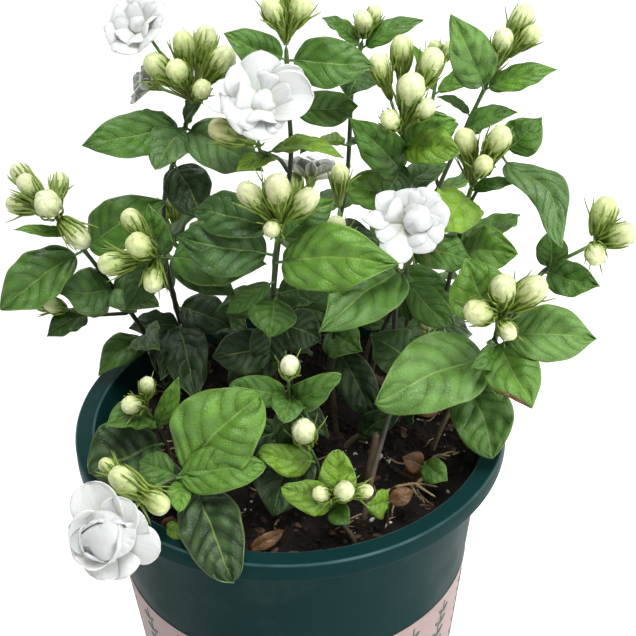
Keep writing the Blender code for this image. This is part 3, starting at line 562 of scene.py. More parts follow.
# %% Stems on the left
stems["stem_left_outer"] = [
    shoot([(-60, 44, 162), (-60, 44, 178), (-72, 46, 203), (-85, 38, 238), (-96, 30, 266),
           (-106, 23, 290)],
          1.5, 0.9, "buds_left_outer",
          leaf(4.0, (-135, 10, 246), 25, 35, "mature", 0.66),
          leaf(4.0, (-54, 26, 294), 23, 50, "mature"),
          leaf(3.0, (-108, 18, 250), 23, 50, "grey"),
          leaf(3.0, (-58, 18, 253), 23, 50, "shade"),
          leaf(4.4, (-124, 16, 287), 6, 30, "fresh"),
          leaf(2.0, (-96, 26, 196), 16, 30, "mature")),
    shoot([(-79, 42, 221), (-97, 31, 228), (-107, 27, 234)],
          1.0, 0.8, "buds_left_low",
          leaf(1.0, (-117, 18, 225), 13, 30, "shade")),
]
stems["stem_tall_left"] = [
    shoot([(-52, 56, 162), (-52, 56, 180), (-58, 60, 212), (-61, 58, 248), (-57, 50, 286),
           (-47, 40, 316), (-39, 30, 342)],
          1.5, 0.9, "buds_tall_left",
          leaf(5.4, (-89, 20, 327), 20, 50, "mature"),
          leaf(5.4, (-8, 5, 320), 22, 50, "grey"),
          leaf(5.3, (-77, 48, 323), 11, 0, "shade"),
          leaf(4.6, (-37, 16, 289), 21, 60, "deep"),
          leaf(4.6, (-76, 66, 300), 20, -20, "grey"),
          leaf(3.0, (-28, 78, 262), 22, -30, "shade"),
          leaf(2.2, (-84, 82, 226), 20, -20, "shade"),
          leaf(2.0, (-30, 50, 206), 22, 30, "deep"),
          leaf(1.6, (-63, 22, 190), 26, 60, "deep")),
    shoot([(-61, 58, 248), (-57, 34, 262), (-55, 14, 270), (-58, 2, 278)],
          1.0, 0.8, "buds_left_inner",
          leaf(2.2, (-61, 12, 300), 15, 85, "mature"),
          leaf(2.0, (-8, -9, 280), 21, 45, "mature"),
          leaf(1.4, (-24, 6, 254), 17, 50, "shade"),
          leaf(1.2, (-76, 8, 246), 16, 40, "shade")),
]
print(len(stems), "stems so far")

# %% [markdown]
# ## Stems in the middle
# The middle stems stand highest and carry two of the blooms and many buds. Their lower leaves fill
# the shade behind the front row.

# %% Stems in the middle
stems["stem_centre_tall"] = [
    shoot([(-8, 34, 162), (-8, 34, 180), (-8, 34, 220), (-4, 30, 262), (4, 20, 315), (4, 18, 350),
           (4, 18, 374)],
          1.6, 0.9, "buds_centre_top",
          leaf(5.7, (-22, 13, 382), 15, 60, "mature"),
          leaf(5.7, (41, 8, 368), 21, 55, "mature"),
          leaf(4.8, (35, 24, 341), 16, 50, "mature"),
          leaf(4.8, (-22, 40, 340), 16, 20, "shade"),
          leaf(4.3, (14, 6, 331), 6, 40, "mature"),
          leaf(3.2, (-36, 44, 282), 20, -20, "shade"),
          leaf(3.2, (5, 66, 268), 20, -20, "mature"),
          leaf(1.8, (-26, 10, 202), 22, 60, "shade"),
          leaf(1.7, (10, 48, 192), 20, 20, "deep")),
    shoot([(3, 21, 310), (-1, 12, 322), (-8, 2, 331), (-9, -2, 336)],
          1.0, 0.8, "buds_centre_bloom",
          leaf(1.8, (27, -12, 336), 11, 10, "bright")),
]
stems["stem_centre"] = [
    shoot([(4, 2, 162), (4, 2, 178), (0, 0, 210), (-6, -2, 244), (-4, -14, 284), (-1, -21, 306)],
          1.4, 0.9, "buds_centre",
          leaf(4.2, (-47, -12, 297), 25, 50, "shade"),
          leaf(4.0, (49, -43, 300), 28, 52, "fresh"),
          leaf(4.6, (23, -10, 313), 15, 60, "mature"),
          leaf(3.4, (-8, -24, 250), 21, 80, "mature"),
          leaf(3.0, (16, -4, 234), 19, 60, "deep"),
          leaf(2.6, (-36, -2, 224), 20, 55, "deep"),
          leaf(2.4, (-16, 22, 216), 18, 10, "deep")),
]
stems["stem_right_inner"] = [
    shoot([(34, -62, 162), (34, -62, 178), (41, -48, 202), (52, -26, 224), (65, -10, 241)],
          1.5, 0.9, "bud_right_inner",
          leaf(3.4, (39, -22, 248), 21, 55, "shade")),
]
stems["stem_right_bloom"] = [
    shoot([(38, 18, 162), (38, 18, 180), (44, 10, 224), (54, -8, 266), (54, -15, 288), (55, -19, 300)],
          1.4, 0.9, "buds_right_bloom",
          leaf(3.5, (15, -55, 274), 26, 50, "mature"),
          leaf(3.2, (77, -18, 249), 15, 70, "mature"),
          leaf(4.2, (84, -18, 284), 17, 40, "mature")),
]
stems["stem_back_centre"] = [
    shoot([(22, 4, 162), (22, 4, 178), (20, 14, 210), (22, 36, 250), (30, 48, 290), (33, 45, 339),
           (38, 45, 364)],
          1.5, 0.9, "buds_back_centre",
          leaf(5.8, (20, 48, 373), 10, 20, "mature"),
          leaf(5.8, (65, 42, 373), 11, 30, "mature"),
          leaf(5.4, (31, 28, 344), 18, 60, "shade"),
          leaf(4.4, (8, 60, 300), 18, -10, "young"),
          leaf(4.4, (54, 62, 300), 18, -10, "shade"),
          leaf(3.6, (34, 80, 262), 22, -30, "mature"),
          leaf(2.3, (34, -2, 226), 20, 60, "mature")),
    shoot([(20, 14, 210), (24, 8, 245), (25, 5, 275)],
          0.9, 0.7, "buds_back_inner"),
]
print(len(stems), "stems so far")

# %% [markdown]
# ## Stems on the right
# The stems on the right lean outwards over the rim. One of their leaves has a burnt, brown tip, and
# one hangs down in a long curve.

# %% Stems on the right
stems["stem_right_tall"] = [
    shoot([(52, 28, 162), (52, 28, 180), (53, 34, 240), (54, 30, 289), (55, 22, 314), (54, 17, 330)],
          1.5, 0.9, "buds_right_tall",
          leaf(3.7, (31, 6, 344), 18, 60, "mature"),
          leaf(4.2, (77, 8, 341), 20, 50, "fresh", 0.66),
          leaf(4.0, (46, 8, 304), 16, 80, "shade"),
          leaf(3.0, (26, 15, 306), 18, 50, "fresh"),
          leaf(3.2, (76, 34, 306), 15, 20, "grey"),
          leaf(2.3, (46, 68, 262), 22, -30, "mature"),
          leaf(1.9, (80, 26, 222), 22, 40, "shade"),
          leaf(1.6, (33, 50, 209), 20, 20, "mature")),
]
stems["stem_far_right"] = [
    shoot([(58, 46, 162), (58, 46, 180), (63, 50, 235), (69, 50, 268), (85, 50, 312), (97, 50, 342)],
          1.5, 0.9, "buds_far_right",
          leaf(4.75, (77, 40, 376), 20, 60, "pale"),
          leaf(4.75, (125, 40, 349), 12, 40, "fresh"),
          leaf(4.0, (108, 38, 329), 13, 30, "mature"),
          leaf(4.3, (74, 64, 326), 7, 0, "shade"),
          leaf(3.0, (104, 68, 284), 20, -20, "fresh"),
          leaf(2.4, (72, 86, 262), 22, -30, "mature"),
          leaf(1.5, (94, 56, 192), 22, 20, "deep")),
    shoot([(74, 50, 282), (71, 64, 312), (75, 72, 337)],
          0.9, 0.7, "buds_far_right_small",
          leaf(1.5, (62, 73, 348), 7, 30, "fresh"),
          leaf(1.5, (93, 68, 336), 9, 30, "fresh")),
]
stems["stem_right_upper"] = [
    shoot([(66, 16, 162), (66, 16, 180), (74, 18, 230), (79, 12, 268), (83, 9, 296), (85, 7, 308)],
          1.4, 0.9, "buds_right_upper",
          leaf(4.5, (69, -16, 299), 22, 50, "young", 0.66),
          leaf(4.8, (103, 0, 314), 7, 30, "mature"),
          leaf(3.1, (105, -11, 283), 22, 50, "fresh", 0.75),
          leaf(3.0, (112, 34, 276), 20, -10, "mature")),
    shoot([(83, 9, 294), (93, 11, 314), (100, 6, 327)],
          0.9, 0.7, None,
          leaf(1.9, (113, 1, 344), 17, 60, "mature"),
          leaf(1.7, (121, -28, 297), 16, 60, "grey", 0.8, 0.0, -8.0)),
]
stems["stem_right_outer"] = [
    shoot([(70, -14, 162), (70, -14, 178), (84, -2, 203), (102, 8, 229), (118, 5, 261), (140, -1, 281)],
          1.4, 0.9, "buds_right_outer",
          leaf(4.2, (122, 9, 283), 14, 70, "mature"),
          leaf(4.1, (142, -16, 268), 16, 50, "mature"),
          leaf(3.0, (128, 34, 238), 20, -20, "mature"),
          leaf(3.2, (84, 34, 246), 19, -10, "mature")),
]
stems["stem_right_low"] = [
    shoot([(28, -12, 162), (28, -12, 178), (53, -14, 196), (74, -18, 210), (93, -23, 229),
           (94, -30, 250), (94, -37, 267)],
          1.4, 0.9, "buds_right_low",
          leaf(5.2, (138, -38, 255), 24, 45, "pale"),
          leaf(5.0, (107, -62, 236), 23, 50, "fresh", 0.9, 1.0),
          leaf(4.4, (40, -58, 238), 33, 45, "pale", 0.66),
          leaf(3.5, (93, -50, 198), 27, 60, "mature", 0.65),
          leaf(4.8, (82, -52, 251), 12, 65, "mature"),
          leaf(5.7, (80, -25, 290), 26, 75, "fresh")),
]
print(len(stems), "stems so far")

# %% [markdown]
# ## Low stems in front
# Short young shoots stand in front: small light leaves round their buds, a large round leaf at the
# left, and one dark old leaf that hangs over the rim.

# %% Low stems in front
stems["stem_front_left"] = [
    shoot([(-36, -56, 162), (-36, -56, 178), (-42, -66, 200), (-49, -72, 210), (-62, -85, 213)],
          1.3, 0.9, "buds_front_left",
          leaf(3.0, (-12, -62, 246), 37, 50, "fresh", 0.5),
          leaf(3.1, (-10, -80, 221), 20, 45, "fresh", 0.6),
          leaf(3.0, (-67, -60, 209), 14, 40, "mature"),
          leaf(2.8, (-48, -88, 203), 10, 50, "fresh", 0.7),
          leaf(2.0, (-25, -110, 182), 27, 60, "dark", 0.5)),
]
stems["stem_left_small"] = [
    shoot([(-58, -20, 162), (-58, -20, 178), (-62, -25, 200), (-66, -30, 216)],
          1.3, 0.8, "buds_left_small",
          leaf(2.2, (-83, -46, 218), 17, 20, "mature"),
          leaf(2.0, (-50, -25, 230), 9, 60, "fresh"),
          leaf(1.5, (-93, -45, 191), 39, 35, "dark", 0.6)),
]
stems["stem_front_mid"] = [
    shoot([(2, -32, 162), (2, -32, 178), (1, -42, 215), (1, -55, 249)],
          1.2, 0.8, "bud_front_mid",
          leaf(2.5, (22, -67, 259), 13, 50, "mature", 0.55),
          leaf(2.6, (-25, -54, 246), 13, 45, "mature", 0.55),
          leaf(2.6, (-1, -72, 240), 15, 60, "mature", 0.5),
          leaf(1.8, (-8, -74, 187), 27, 60, "deep", 0.8)),
]
stems["stem_front_small"] = [
    shoot([(12, -54, 162), (12, -54, 178), (13, -57, 200), (9, -61, 217)],
          1.0, 0.7, "bud_front_small",
          leaf(2.3, (-12, -69, 220), 14, 50, "young", 0.4)),
]
stems["stem_front"] = [
    shoot([(28, -80, 162), (28, -80, 177), (19, -78, 192), (20, -80, 202)],
          1.6, 1.0, "buds_front",
          leaf(2.4, (-3, -86, 214), 14, 50, "young", 0.5),
          leaf(2.1, (22, -68, 220), 16, 60, "young", 0.5),
          leaf(2.4, (26, -90, 196), 10, 50, "mature")),
]
print(len(stems), "stems so far")

# %% [markdown]
# ## Stems at the back and seedlings
# The photograph doesn't show the back, so three low stems fill it with the same kind of leaves. Two
# seedlings stand on the soil in front of the stems on the right.

# %% Stems at the back and seedlings
stems["stem_rear_left"] = [
    shoot([(-36, 64, 162), (-36, 64, 180), (-46, 82, 208), (-58, 96, 230)],
          1.4, 0.9, "buds_rear_left",
          leaf(2.7, (-94, 104, 234), 24, -40, "mature"),
          leaf(2.6, (-34, 128, 224), 24, -50, "mature"),
          leaf(2.0, (-84, 104, 204), 22, -40, "shade"),
          leaf(1.4, (-22, 56, 200), 20, 20, "shade"),
          leaf(2.0, (-26, 112, 206), 22, -40, "shade")),
]
stems["stem_rear_mid"] = [
    shoot([(0, 70, 162), (0, 70, 180), (4, 86, 212), (6, 102, 238)],
          1.4, 0.9, "buds_rear_mid",
          leaf(2.7, (-30, 118, 242), 23, -40, "mature"),
          leaf(2.6, (42, 126, 234), 24, -50, "mature"),
          leaf(2.0, (22, 122, 204), 22, -50, "shade"),
          leaf(2.2, (-22, 100, 236), 18, -30, "mature"),
          leaf(1.5, (26, 60, 202), 20, 20, "shade"),
          leaf(1.4, (-18, 92, 200), 18, 0, "shade")),
]
stems["stem_rear_right"] = [
    shoot([(40, 62, 162), (40, 62, 180), (54, 78, 206), (70, 90, 228)],
          1.4, 0.9, "buds_rear_right",
          leaf(2.7, (104, 86, 234), 23, -30, "mature"),
          leaf(2.6, (66, 128, 222), 24, -50, "mature"),
          leaf(2.0, (92, 98, 200), 21, -30, "shade"),
          leaf(1.8, (30, 104, 208), 20, -40, "shade"),
          leaf(1.4, (72, 62, 198), 20, 20, "shade")),
]
stems["seedling_front"] = [
    shoot([(44, -66, 162), (44, -66, 178), (44, -65, 186)],
          0.9, 0.7, None,
          leaf(2.0, (34, -74, 192), 13, 60, "young"),
          leaf(1.9, (56, -62, 190), 8, 40, "dry")),
]
stems["seedling_right"] = [
    shoot([(62, -44, 162), (62, -44, 178), (62, -43, 190)],
          0.9, 0.7, None,
          leaf(2.0, (72, -56, 190), 12, 60, "mature"),
          leaf(1.8, (52, -46, 196), 10, 50, "dry")),
]
print(len(stems), "stems so far")

# %% [markdown]
# ## Inner leaves
# A real jasmine is dense inside. The solids carry only the leaves that make the plant's outline, so the dress
# adds the ones between them: dark leaves low over the soil, their darkness partly their own and partly
# painted shade, and a few more in the crown.
# Their small variations come from a second row of random numbers, so the first one still gives
# every other leaf the same form as its solid.

# %% Inner leaf rows
inner_leaves = {
    ("stem_tall_left", 0): [
        leaf(1.7, (-45, 0, 196), 22, 62, "deep"),
        leaf(1.5, (-64, 14, 199), 15, 60, "deep"),
        leaf(5.4, (-33, 26, 346), 11, 30, "shade"),
        leaf(5.35, (-56, 12, 320), 19, 50, "grey", 0.6),
        leaf(1.6, (-82, 50, 206), 18, 20, "deep"),
    ],
    ("stem_centre", 0): [
        leaf(2.6, (-28, 2, 199), 18, 60, "deep"),
        leaf(3.1, (-9, -6, 222), 18, 60, "deep"),
        leaf(1.8, (18, -30, 196), 13, 55, "deep"),
        leaf(3.7, (-27, -14, 257), 9, 60, "mature"),
        leaf(4.9, (-40, -2, 305), 20, 40, "shade"),
    ],
    ("stem_centre_tall", 0): [
        leaf(2.4, (18, 26, 240), 18, 40, "shade"),
        leaf(2.2, (-34, 20, 236), 17, 40, "shade"),
    ],
    ("stem_centre_tall", 1): [
        leaf(1.1, (-19, -12, 329), 10, 22, "bright"),
    ],
    ("stem_back_centre", 0): [
        leaf(3.5, (46, 2, 276), 12, 50, "deep"),
        leaf(2.4, (2, 62, 232), 20, -20, "shade"),
    ],
    ("stem_back_centre", 1): [
        leaf(0.4, (40, -8, 188), 18, 60, "deep"),
        leaf(1.2, (8, 2, 262), 14, 60, "shade"),
    ],
    ("stem_right_low", 0): [
        leaf(1.2, (53, -25, 207), 12, 50, "deep"),
        leaf(4.6, (96, -44, 226), 9, 60, "pale"),
        leaf(2.4, (58, -2, 190), 16, 50, "deep"),
    ],
    ("stem_front_mid", 0): [
        leaf(2.9, (3, -52, 201), 16, 60, "shade"),
        leaf(1.9, (-28, -36, 196), 18, 50, "deep"),
    ],
    ("stem_right_tall", 0): [
        leaf(4.9, (80, 22, 332), 14, 50, "grey"),
        leaf(4.5, (78, -4, 331), 18, 45, "young", 0.7),
        leaf(4.8, (29, 10, 330), 6, 20, "shade"),
        leaf(2.1, (20, 22, 232), 18, 40, "shade"),
        leaf(2.2, (84, 10, 236), 19, 50, "mature"),
    ],
    ("stem_right_upper", 0): [
        leaf(2.2, (106, 20, 236), 20, 30, "mature"),
        leaf(2.0, (50, -14, 226), 19, 50, "shade"),
    ],
    ("stem_left_outer", 0): [
        leaf(2.0, (-62, 8, 222), 17, 50, "shade"),
        leaf(3.0, (-62, 6, 250), 18, 50, "grey", 0.7),
    ],
    ("stem_front_left", 0): [
        leaf(1.8, (-72, -52, 192), 18, 50, "deep"),
    ],
}
print(sum(len(rows) for rows in inner_leaves.values()), "inner leaves")

# %% [markdown]
# ## A tube is a rolled-up grid
# Stems, leaf stalks, veins, bud stalks and even buds are all round things along a path. A flat grid
# rolled round the path makes them all: one direction of the grid goes round, the other goes along,
# and merging the doubles closes the seam and the two ends. The side direction is carried from point
# to point, so the tube never twists.

# %% Tubes
def smooth_path(points, steps):
    """Places along a smooth curve through the points: (place along the row, point)."""
    row = [Vector(point) for point in points]
    padded = [row[0] * 2 - row[1]] + row + [row[-1] * 2 - row[-2]]
    made = []
    for index in range(len(row) - 1):
        before, start, stop, after = padded[index:index + 4]
        for step in range(steps):
            t = step / steps
            bend = (start * 2 + (stop - before) * t + (before * 2 - start * 5 + stop * 4 - after) * t ** 2
                    + (start * 3 - before - stop * 3 + after) * t ** 3)
            made.append((index + t, bend * 0.5))
    made.append((len(row) - 1.0, row[-1]))
    return made


def frames_along(path):
    """Heading, side and up at each point of a path, without twist."""
    side = None
    frames = []
    for index in range(len(path)):
        heading = (path[min(index + 1, len(path) - 1)] - path[max(index - 1, 0)]).normalized()
        side = heading.orthogonal() if side is None else side - heading * side.dot(heading)
        side.normalize()
        frames.append((heading, side.copy(), heading.cross(side)))
    return frames


def storing(layer, value):
    """A paint for a tube that stores the same value at each of its points."""
    def paint(vertex, turn, share):
        vertex[layer] = value

    return paint


def add_tube(bm, path, radii, sides, finish=0, shape=None, paint=None):
    """Add a closed tube. Shape gives a factor on the radius, paint stores values, both by turn and row."""
    last = len(path) - 1
    frames = frames_along(path)
    made = bmesh.ops.create_grid(bm, x_segments=sides, y_segments=last, size=1.0)["verts"]
    for vertex in made:
        turn = (vertex.co.x + 1.0) * math.pi
        row = round((vertex.co.y + 1.0) * 0.5 * last)
        side, up = frames[row][1:]
        radius = radii[row]
        if shape:
            radius *= shape(turn, row / last)
        if paint:
            paint(vertex, turn, row / last)
        vertex.co = (path[row] + (side * math.cos(turn) + up * math.sin(turn)) * radius) * MM
    for vertex in made:
        for face in vertex.link_faces:
            face.material_index = finish
    bmesh.ops.remove_doubles(bm, verts=made, dist=0.001 * MM)


print("tube helper ready")

# %% [markdown]
# ## The blade of a leaf
# A jasmine leaf is a broad oval with a short stalk, a waved edge and a strong net of veins. The
# blade bulges between its side veins, which gives the quilted look. The chord, arch, fold and long
# wave are the CAD's own, so the leaf stays in its place. The quilt, the droop of the tip and the
# fine waves of the edge are added on top.

# %% Blade surface
PETIOLE_SHARE = 0.10
BLADE_HALF = 0.53
BLADE_SKEW = 0.84
BLADE_FULLNESS = 0.57
LEAF_ARCH = (0.07, 0.14)
LEAF_FOLD = (0.10, 0.22)
LEAF_WAVE = (0.03, 0.07)
WAVES = 1.5
LEAF_TWIST = 0.30
LEAF_BOW = 0.05
LEAF_RUFFLE = (0.05, 0.12)
RUFFLES = 3.3
LEAF_CURL = (-0.03, 0.07)
CURL_FROM = 0.6
SIDE_VEINS = (4.4, 6.4)
VEIN_SWEEP = (0.24, 0.36)
VEIN_BEND = 1.3
POINT_FROM = 0.62
QUILT = 0.055
BLISTER = 0.07
CHEEK = 0.07


def on_path(points, at):
    """The point at a place along a row of points."""
    index = min(int(at), len(points) - 2)
    start = Vector(points[index])
    return start + (Vector(points[index + 1]) - start) * (at - index)


def blade_share(along, point):
    """Half width of a blade as a share of its widest, along it from its base to its tip."""
    late = min(1.0, max(0.0, (along - POINT_FROM) / (1.0 - POINT_FROM)))
    fullness = BLADE_FULLNESS + (point - BLADE_FULLNESS) * late * late * (3.0 - 2.0 * late)
    return max(0.0, math.sin(math.pi * along ** BLADE_SKEW)) ** fullness


def quilt(row, v, t):
    """Height of the bulges between the side veins, from 0 on a vein to 1 between two."""
    crown = math.sin(math.pi * min(1.0, abs(t) * 0.98 + 0.02)) ** 0.6
    return abs(math.sin(math.pi * row)) ** 0.8 * crown * (1.0 - 0.5 * v)


def blade_surface(spec, start, radius, rng):
    """How one blade lies: its surface by (share of the chord, place across), its vein rows and its length."""
    chord = Vector(spec["tip"]) - start
    along = chord.normalized()
    lean = math.radians(spec["lean"])
    facing = Vector((0.0, -math.sin(lean), math.cos(lean)))
    normal = (facing - along * facing.dot(along)).normalized()
    side = along.cross(normal)
    length = chord.length
    width = spec["width"]
    arch = rng.uniform(*LEAF_ARCH)
    fold = rng.uniform(*LEAF_FOLD)
    wave = rng.uniform(*LEAF_WAVE)
    phase = rng.uniform(0.0, 1.0)
    own = random.Random(round(1000 * phase))
    twist = own.uniform(-LEAF_TWIST, LEAF_TWIST)
    bow = own.uniform(-LEAF_BOW, LEAF_BOW) * length + spec["bow"]
    ruffle = own.uniform(*LEAF_RUFFLE)
    curl = own.uniform(*LEAF_CURL) * length
    veins = own.uniform(*SIDE_VEINS)
    sweep = own.uniform(*VEIN_SWEEP)
    jitter = own.uniform(0.0, math.tau)

    def vein_row(v, t, right):
        """A count that is a whole number along each side vein."""
        uneven = 0.24 * math.sin(9.0 * v + jitter + 2.0 * right)
        return veins * (v - sweep * abs(t) ** VEIN_BEND) + 0.5 * right + uneven + 3.0

    def surface(s, t):
        v = max(0.0, (s - PETIOLE_SHARE) / (1.0 - PETIOLE_SHARE))
        half = max(BLADE_HALF * width * blade_share(v, spec["point"]), 0.7 * (1.0 - v))
        lift = arch * length * 4.0 * s * (1.0 - s) + fold * half * abs(t)
        lift += wave * width * t * math.sin(math.tau * (WAVES * s + phase)) * min(1.0, 0.25 * half)
        if v > 0.0:
            lift += QUILT * width * quilt(vein_row(v, t, t > 0), v, t) * min(1.0, half / (0.3 * width))
            lift += CHEEK * half * math.sin(math.pi * abs(t))
            lift += BLISTER * width * noise.noise(Vector((3.0 * v * length / width, 3.0 * t, jitter)))
            beat = RUFFLES * v + 5.0 * phase + 0.4 * (t > 0)
            lift += ruffle * half * abs(t) ** 3 * math.sin(math.tau * beat)
            droop = max(0.0, (v - CURL_FROM) / (1.0 - CURL_FROM)) ** 2
            lift += twist * half * t * (v - 0.35) - curl * droop
        reach = length * s - 0.1 * radius * (1.0 - s)
        sideways = half * t + bow * math.sin(math.pi * v) ** 2
        return start + along * reach + side * sideways + normal * lift

    return surface, vein_row, length


print("blade ready")

# %% [markdown]
# ## Leaf greens
# One recipe makes both faces of the leaf from numbers stored on the mesh: how young the leaf is, whose
# darkest end is partly painted shade, how greyish it is, partly its own tone and partly a painted sheen, and
# where it is dry. The leaf's UV map stores the same count that shapes the quilt, a whole number along each
# side vein, so colour and relief agree. The veins are sunk, and painted shade darkens them; the cells between
# them are lightened by a painted highlight and catch a painted greyish sheen; and much smaller cells make the
# fine net of veins.

# %% Leaf finishes
# the darkest stops are partly the leaves' own dark green and partly painted shade
LEAF_TONES = ((0.0, (0.009, 0.026, 0.007)), (0.25, (0.026, 0.074, 0.010)), (0.45, (0.060, 0.150, 0.015)),
              (0.62, (0.104, 0.230, 0.022)), (0.82, (0.142, 0.256, 0.016)), (1.0, (0.124, 0.228, 0.006)))
# partly the leaves' own greyish tone, partly painted sheen
GREYISH_TONE_AND_SHEEN = (0.104, 0.190, 0.066, 1.0)
PALE_VEIN = (0.300, 0.420, 0.110, 1.0)
PALE_FACE = (0.20, 0.30, 0.10, 1.0)
MARGIN_GREEN = (0.15, 0.26, 0.07, 1.0)
MARGIN_BROWN = (0.12, 0.055, 0.02, 1.0)
NET_SCALE = 620.0
DRY_BROWN = ((0.25, (0.040, 0.020, 0.008)), (0.55, (0.115, 0.055, 0.021)), (0.8, (0.240, 0.135, 0.055)))


def vein_masks(tree):
    """Masks from the leaf's UV map: side veins, cells between them, midrib and margin."""
    blade_map = add_node(tree, "ShaderNodeUVMap", uv_map="blade").outputs[0]
    uv = add_node(tree, "ShaderNodeSeparateXYZ", {0: blade_map})
    t = maths(tree, "ABSOLUTE", maths(tree, "SUBTRACT", maths(tree, "MULTIPLY", uv.outputs[0], 2.0), 1.0))
    nearest = maths(tree, "PINGPONG", maths(tree, "MULTIPLY", uv.outputs[1], 10.0), 0.5)
    inside = between(tree, t, 0.72, 0.98, 1.0, 0.0)
    side_veins = maths(tree, "MULTIPLY", between(tree, nearest, 0.01, 0.13, 1.0, 0.0), inside)
    cells = maths(tree, "MULTIPLY", between(tree, nearest, 0.08, 0.42), inside)
    midrib = between(tree, t, 0.010, 0.055, 1.0, 0.0)
    return side_veins, cells, midrib, between(tree, t, 0.91, 0.99)


def leaf_finish(name, paler, vein_shade_strength, gloss):
    """The green of one face of the leaves, mixed with a paler tone by some share."""
    finish, tree, shader = new_finish(name, gloss[0], Specular_IOR_Level=0.32)
    side_veins, cells, midrib, margin = vein_masks(tree)
    green = ramp(tree, attribute(tree, "tone"), LEAF_TONES)
    # the grey number mixes in a greyish colour, partly the leaf's own tone and partly painted sheen
    green = blend_colour(tree, maths(tree, "MULTIPLY", attribute(tree, "grey"), 0.75), green, GREYISH_TONE_AND_SHEEN)
    green = blend_colour(tree, paler, green, PALE_FACE)
    cell_inputs = {"Vector": own_place(tree), "Scale": NET_SCALE}
    net = add_node(tree, "ShaderNodeTexVoronoi", cell_inputs, feature="DISTANCE_TO_EDGE")
    fine = between(tree, net.outputs["Distance"], 0.0, 0.25)
    patches = between(tree, speckle(tree, 75.0, 5.0, 0.65), 0.3, 0.7, 0.64, 1.08)
    # painted highlight: the cells between the side veins are made lighter, on top of random patches of tone
    # and the fine net
    value = maths(tree, "ADD", patches, maths(tree, "MULTIPLY", cells, 0.16))
    value = maths(tree, "ADD", value, maths(tree, "MULTIPLY", fine, 0.14))
    green = brighten(tree, value, green)
    # painted sheen: a greyish wash over the cells between the veins, in noisy patches
    bloom = maths(tree, "MULTIPLY", cells, between(tree, speckle(tree, 70.0, 2.0), 0.42, 0.70, 0.0, 0.46))
    green = blend_colour(tree, bloom, green, GREYISH_TONE_AND_SHEEN)
    # painted shade: the sunk side veins are darkened
    shadowed = brighten(tree, 0.55, green)
    green = blend_colour(tree, maths(tree, "MULTIPLY", side_veins, vein_shade_strength), green, shadowed)
    green = blend_colour(tree, maths(tree, "MULTIPLY", midrib, 0.36), green, PALE_VEIN)
    green = blend_colour(tree, maths(tree, "MULTIPLY", margin, 0.20), green, PALE_VEIN)
    brown = ramp(tree, speckle(tree, 180.0, 4.0, 0.6), DRY_BROWN)
    colour = blend_colour(tree, attribute(tree, "dry"), green, brown)
    creases = maths(tree, "SUBTRACT", maths(tree, "MULTIPLY", fine, 0.45),
                    maths(tree, "ADD", side_veins, maths(tree, "MULTIPLY", midrib, 1.2)))
    uneven_gloss = between(tree, speckle(tree, 130.0, 3.0), 0.25, 0.75, *gloss)
    wire(tree, shader, colour, creases, 0.4, 0.55, uneven_gloss)
    return finish


leaf_top = leaf_finish("leaf_green", 0.0, 0.26, (0.38, 0.52))
leaf_under = leaf_finish("leaf_underside", 0.42, 0.15, (0.55, 0.68))
leaf_margin, tree, shader = new_finish("leaf_margin", 0.55)
wire(tree, shader, blend_colour(tree, attribute(tree, "dry"), MARGIN_GREEN, MARGIN_BROWN))
leafy = [leaf_top, leaf_under, leaf_margin]
print("leaf finishes:", ", ".join(finish.name for finish in leafy))

# %% [markdown]
# ## Stem, stalk and bark
# Young jasmine stems are green, then turn dark olive and woody brown near the soil. The mesh stores
# an age at each point, and the bark takes its colour from a ramp over that number. Leaf and bud
# stalks stay green.

# %% Stem finishes
BARK_TONES = ((0.0, (0.120, 0.220, 0.045)), (0.35, (0.040, 0.075, 0.018)), (0.65, (0.018, 0.022, 0.010)),
              (1.0, (0.085, 0.058, 0.032)))
STALK_TONES = ((0.3, (0.085, 0.185, 0.038)), (0.7, (0.180, 0.300, 0.075)))

stem_skin, tree, shader = new_finish("stem_skin", 0.6)
bark_tone = ramp(tree, attribute(tree, "age"), BARK_TONES)
lines = between(tree, speckle(tree, 330.0, 5.0, 0.7), 0.3, 0.7, 0.65, 1.3)
wire(tree, shader, brighten(tree, lines, bark_tone), speckle(tree, 700.0, 4.0), 0.3, 0.6)

stalk_green, tree, shader = new_finish("stalk_green", 0.5)
stalk_tone = ramp(tree, speckle(tree, 90.0), STALK_TONES)
wire(tree, shader, stalk_tone, speckle(tree, 1500.0), 0.05, 0.4)
print("stem finishes ready")

# %% [markdown]
# ## A blade's mesh
# A blade is a flat grid laid on its surface, with more rows and columns on a larger leaf. The grid keeps the
# two numbers of its look, how young it is, its darkest values partly painted shade, and how greyish it is,
# partly its own tone and partly painted sheen, and how dry each point is. Its UV map holds the place across
# the leaf and the count of side veins.

# %% Blade mesh
# deep, dark and shade looks are partly the leaves' own darker green and partly painted shade; the second
# number, the greyness, is partly the leaves' own tone and partly painted sheen
LOOKS = {
    "deep": (0.02, 0.14), "dark": (0.03, 0.16), "shade": (0.24, 0.08), "mature": (0.42, 0.08),
    "grey": (0.36, 0.70), "pale": (0.58, 0.50), "fresh": (0.58, 0.06), "young": (0.78, 0.0),
    "bright": (1.0, 0.0), "dry": (0.60, 0.0),
}
ROW_STEP = 1.25
COLUMN_STEP = 2.1


